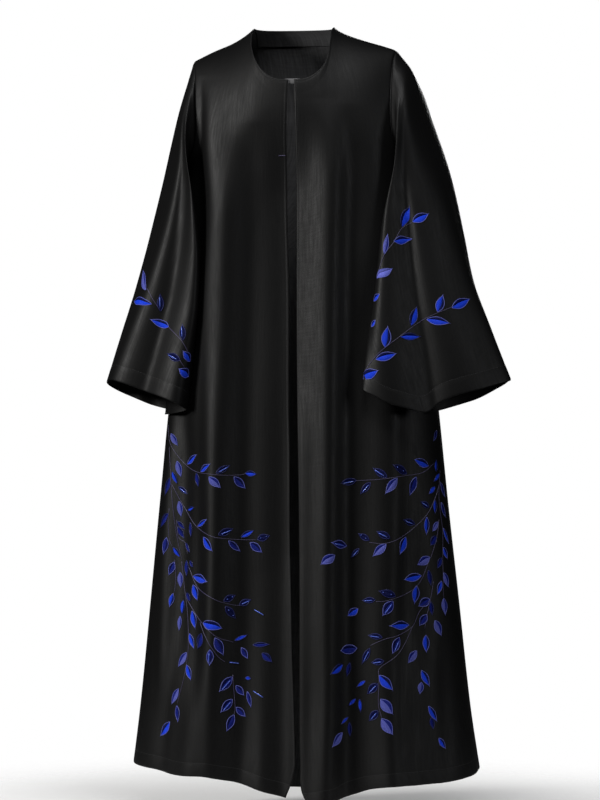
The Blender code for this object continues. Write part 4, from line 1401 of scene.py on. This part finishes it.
class ABAYA_PT_panel(bpy.types.Panel):
    """Sidebar panel with the cloak's looks"""

    bl_label = "Abaya cloak"
    bl_space_type = "VIEW_3D"
    bl_region_type = "UI"
    bl_category = "Abaya"

    def draw(self, context):
        look = context.scene.abaya_look
        for key in ABAYA_PG_look.__annotations__:
            self.layout.prop(look, key)
        for operator in OPERATORS:
            self.layout.operator(operator.bl_idname)


OPERATORS = (
    ABAYA_OT_fronts, ABAYA_OT_back, ABAYA_OT_sleeves, ABAYA_OT_neck, ABAYA_OT_stitches, ABAYA_OT_leaves,
    ABAYA_OT_stage,
)
CLASSES = (ABAYA_PG_look,) + OPERATORS + (ABAYA_PT_panel,)


def make_facing():
    """Band inside the back neck, made from the back's own points moved in."""
    rows = np.concatenate([(0, 0.09, 0.2, 0.4), np.linspace(0.7, 1.8, 8), (1.9, 1.96, FACING_ROWS)])
    first = SHOULDER_COLUMNS
    columns = np.linspace(first, first + 2 * BACK_NECK_COLUMNS, FACING_COLUMN_STEPS)
    grid = back_grid(rows, columns)
    core = body_core(grid)
    inward = -outward(grid, False, core)
    gap = bpy.context.scene.abaya_look.cloth_thickness / MM + FACING_GAP
    cloth = Cloth(grid + inward * gap, False, core, 0 * grid[..., 0])
    # The facing takes the lighter inside crepe: partly matte wrong side, partly painted light
    sew_panel("neck_facing", cloth, "crepe_inside")


def make_tab():
    """Small pressed tab behind the two front edges at the neck, rounded at its corners, its black crepe
    painted light grey as a painted highlight of its edge.
    """
    low, high = (np.array(corner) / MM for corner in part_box("neck_tab"))
    rows, columns = TAB_STEPS
    v, u = np.meshgrid(np.linspace(-1, 1, rows), np.linspace(-1, 1, columns), indexing="ij")
    half = (high - low) / 2
    centre = (high + low) / 2
    trim = TAB_CORNER * (np.abs(v) ** 4)
    x = centre[0] + u * (half[0] - trim)
    z = centre[2] + v * (half[2] - TAB_CORNER * TAB_CORNER_RISE * np.abs(u) ** 8)
    y = centre[1] - TAB_ARCH * (1 - u * u) - TAB_SWELL * (1 - v ** 6)
    grid = np.stack([x, y, z], axis=-1)[::-1]
    core = grid + (0, CORE_DROP, 0)
    sew_panel("neck_tab", Cloth(grid, False, core, 0 * u), "tab_crepe")


def make_stitches():
    """Rows of stitches beside the edges and above the hems of each panel."""
    for name in ("front_right", "front_left", "back", "sleeve_right", "sleeve_left"):
        cloth = cloth_of(name)
        heap = Heap()
        for line in STITCHED[name.split("_")[0]]:
            heap.add(*dashes(*cloth.line(*line)))
        heap.make("stitches_" + name, ["sewing_thread"])


def make_tack():
    """Short bar of thread wraps on the chest of one front."""
    tree = cloth_tree("front_right")
    heap = Heap()
    points, ways = laid_on(tree, [(x, TACK_DEPTH) for x in np.linspace(*TACK_PLACES, TACK_WRAPS)])
    centres = points + ways * TACK_LIFT
    radii = np.full(len(points), TACK_RADIUS)
    radii[[0, -1]] = TACK_END_RADIUS
    heap.add(*tube(centres, ways, radii, STEM_SIDES))
    turn = np.linspace(-0.2 * np.pi, 1.2 * np.pi, TACK_WRAP_STEPS)[:, None]
    for share in np.linspace(0.06, 0.94, TACK_WRAPS):
        at = int(share * (len(points) - 1))
        line = centres[at] + (np.sin(turn) * ways[at] + np.cos(turn) * (0, 0, 1)) * TACK_WRAP_REACH
        heap.add(*tube(line, (1.0, 0.0, 0.0), [TACK_THREAD] * len(line), CORD_SIDES))
    heap.make("tack_stitch", ["stem_thread"])


def make_floor():
    """Round pale floor just under the hem."""
    low, _ = CAD_BOX
    mesh = bpy.data.meshes.new("floor")
    turn = np.linspace(0, 2 * np.pi, 97)[:-1]
    flat = np.stack([np.cos(turn), np.sin(turn), 0 * turn], axis=-1)
    points = FLOOR_RADIUS * flat + (0, 0, low.z - FLOOR_DROP)
    mesh.from_pydata(points.tolist(), [], [tuple(range(len(turn)))])
    paint = Paint("floor_paper")
    spot = paint.add("ShaderNodeTexGradient", {"gradient_type": "SPHERICAL"},
                     {"Vector": paint.place("spot", (1.0, 1.0, 1.0))})
    fade = paint.add("ShaderNodeMapRange", {"interpolation_type": "SMOOTHSTEP"},
                     {"Value": spot, "From Max": 0.7})
    mesh.materials.append(paint.finish({"Base Color": (0.8, 0.8, 0.8, 1.0), "Roughness": 0.9, "Alpha": fade}))
    layer = mesh.attributes.new("spot", "FLOAT_VECTOR", "POINT")
    layer.data.foreach_set("vector", flat.ravel())
    floor = bpy.data.objects.new("floor", mesh)
    bpy.context.scene.collection.objects.link(floor)


def put_aimed(name, data, place, target):
    """Put a lamp or camera in its place, turned towards another."""
    item = bpy.data.objects.new(name, data)
    item.location = place
    item.rotation_mode = "QUATERNION"
    item.rotation_quaternion = (Vector(target) - item.location).to_track_quat("-Z", "Y")
    bpy.context.scene.collection.objects.link(item)
    return item


def make_lights():
    """Large soft lamps round the cloak."""
    for name, place, target, size, power, colour in LAMPS:
        data = bpy.data.lights.new(name, "AREA")
        data.shape = "DISK"
        data.size = size
        data.energy = power
        data.color = colour
        put_aimed(name, data, place, target)


def make_world():
    """White surroundings for the eye that give the cloth only a low even light."""
    world = bpy.data.worlds.new("studio")
    world.use_nodes = True
    nodes, links = world.node_tree.nodes, world.node_tree.links
    ground = nodes["Background"]
    ground.inputs["Color"].default_value = (1.0, 1.0, 1.0, 1.0)
    rays = nodes.new("ShaderNodeLightPath")
    level = nodes.new("ShaderNodeMapRange")
    level.inputs["To Min"].default_value = WORLD_LIGHT
    level.inputs["To Max"].default_value = 1.0
    links.new(rays.outputs["Is Camera Ray"], level.inputs["Value"])
    links.new(level.outputs["Result"], ground.inputs["Strength"])
    bpy.context.scene.world = world
    bpy.context.scene.view_settings.view_transform = "Standard"


def make_camera():
    """Camera level with the middle of the cloak, a little to its left side."""
    _, away, eye = view_ways()
    data = bpy.data.cameras.new("camera")
    data.lens = VIEW_LENS
    bpy.context.scene.camera = put_aimed("camera", data, eye * MM, eye * MM + away)


def register():
    """Add the classes and the cloak's look to Blender."""
    for item in CLASSES:
        bpy.utils.register_class(item)
    bpy.types.Scene.abaya_look = PointerProperty(type=ABAYA_PG_look)


def unregister():
    """Take them out again."""
    del bpy.types.Scene.abaya_look
    for item in reversed(CLASSES):
        bpy.utils.unregister_class(item)


def main():
    """Make every piece in order."""
    register()
    bpy.ops.abaya.stage()
    bpy.ops.abaya.fronts()
    bpy.ops.abaya.back()
    bpy.ops.abaya.sleeves()
    bpy.ops.abaya.neck()
    bpy.ops.abaya.stitches()
    bpy.ops.abaya.leaves()


if __name__ == "__main__":
    main()
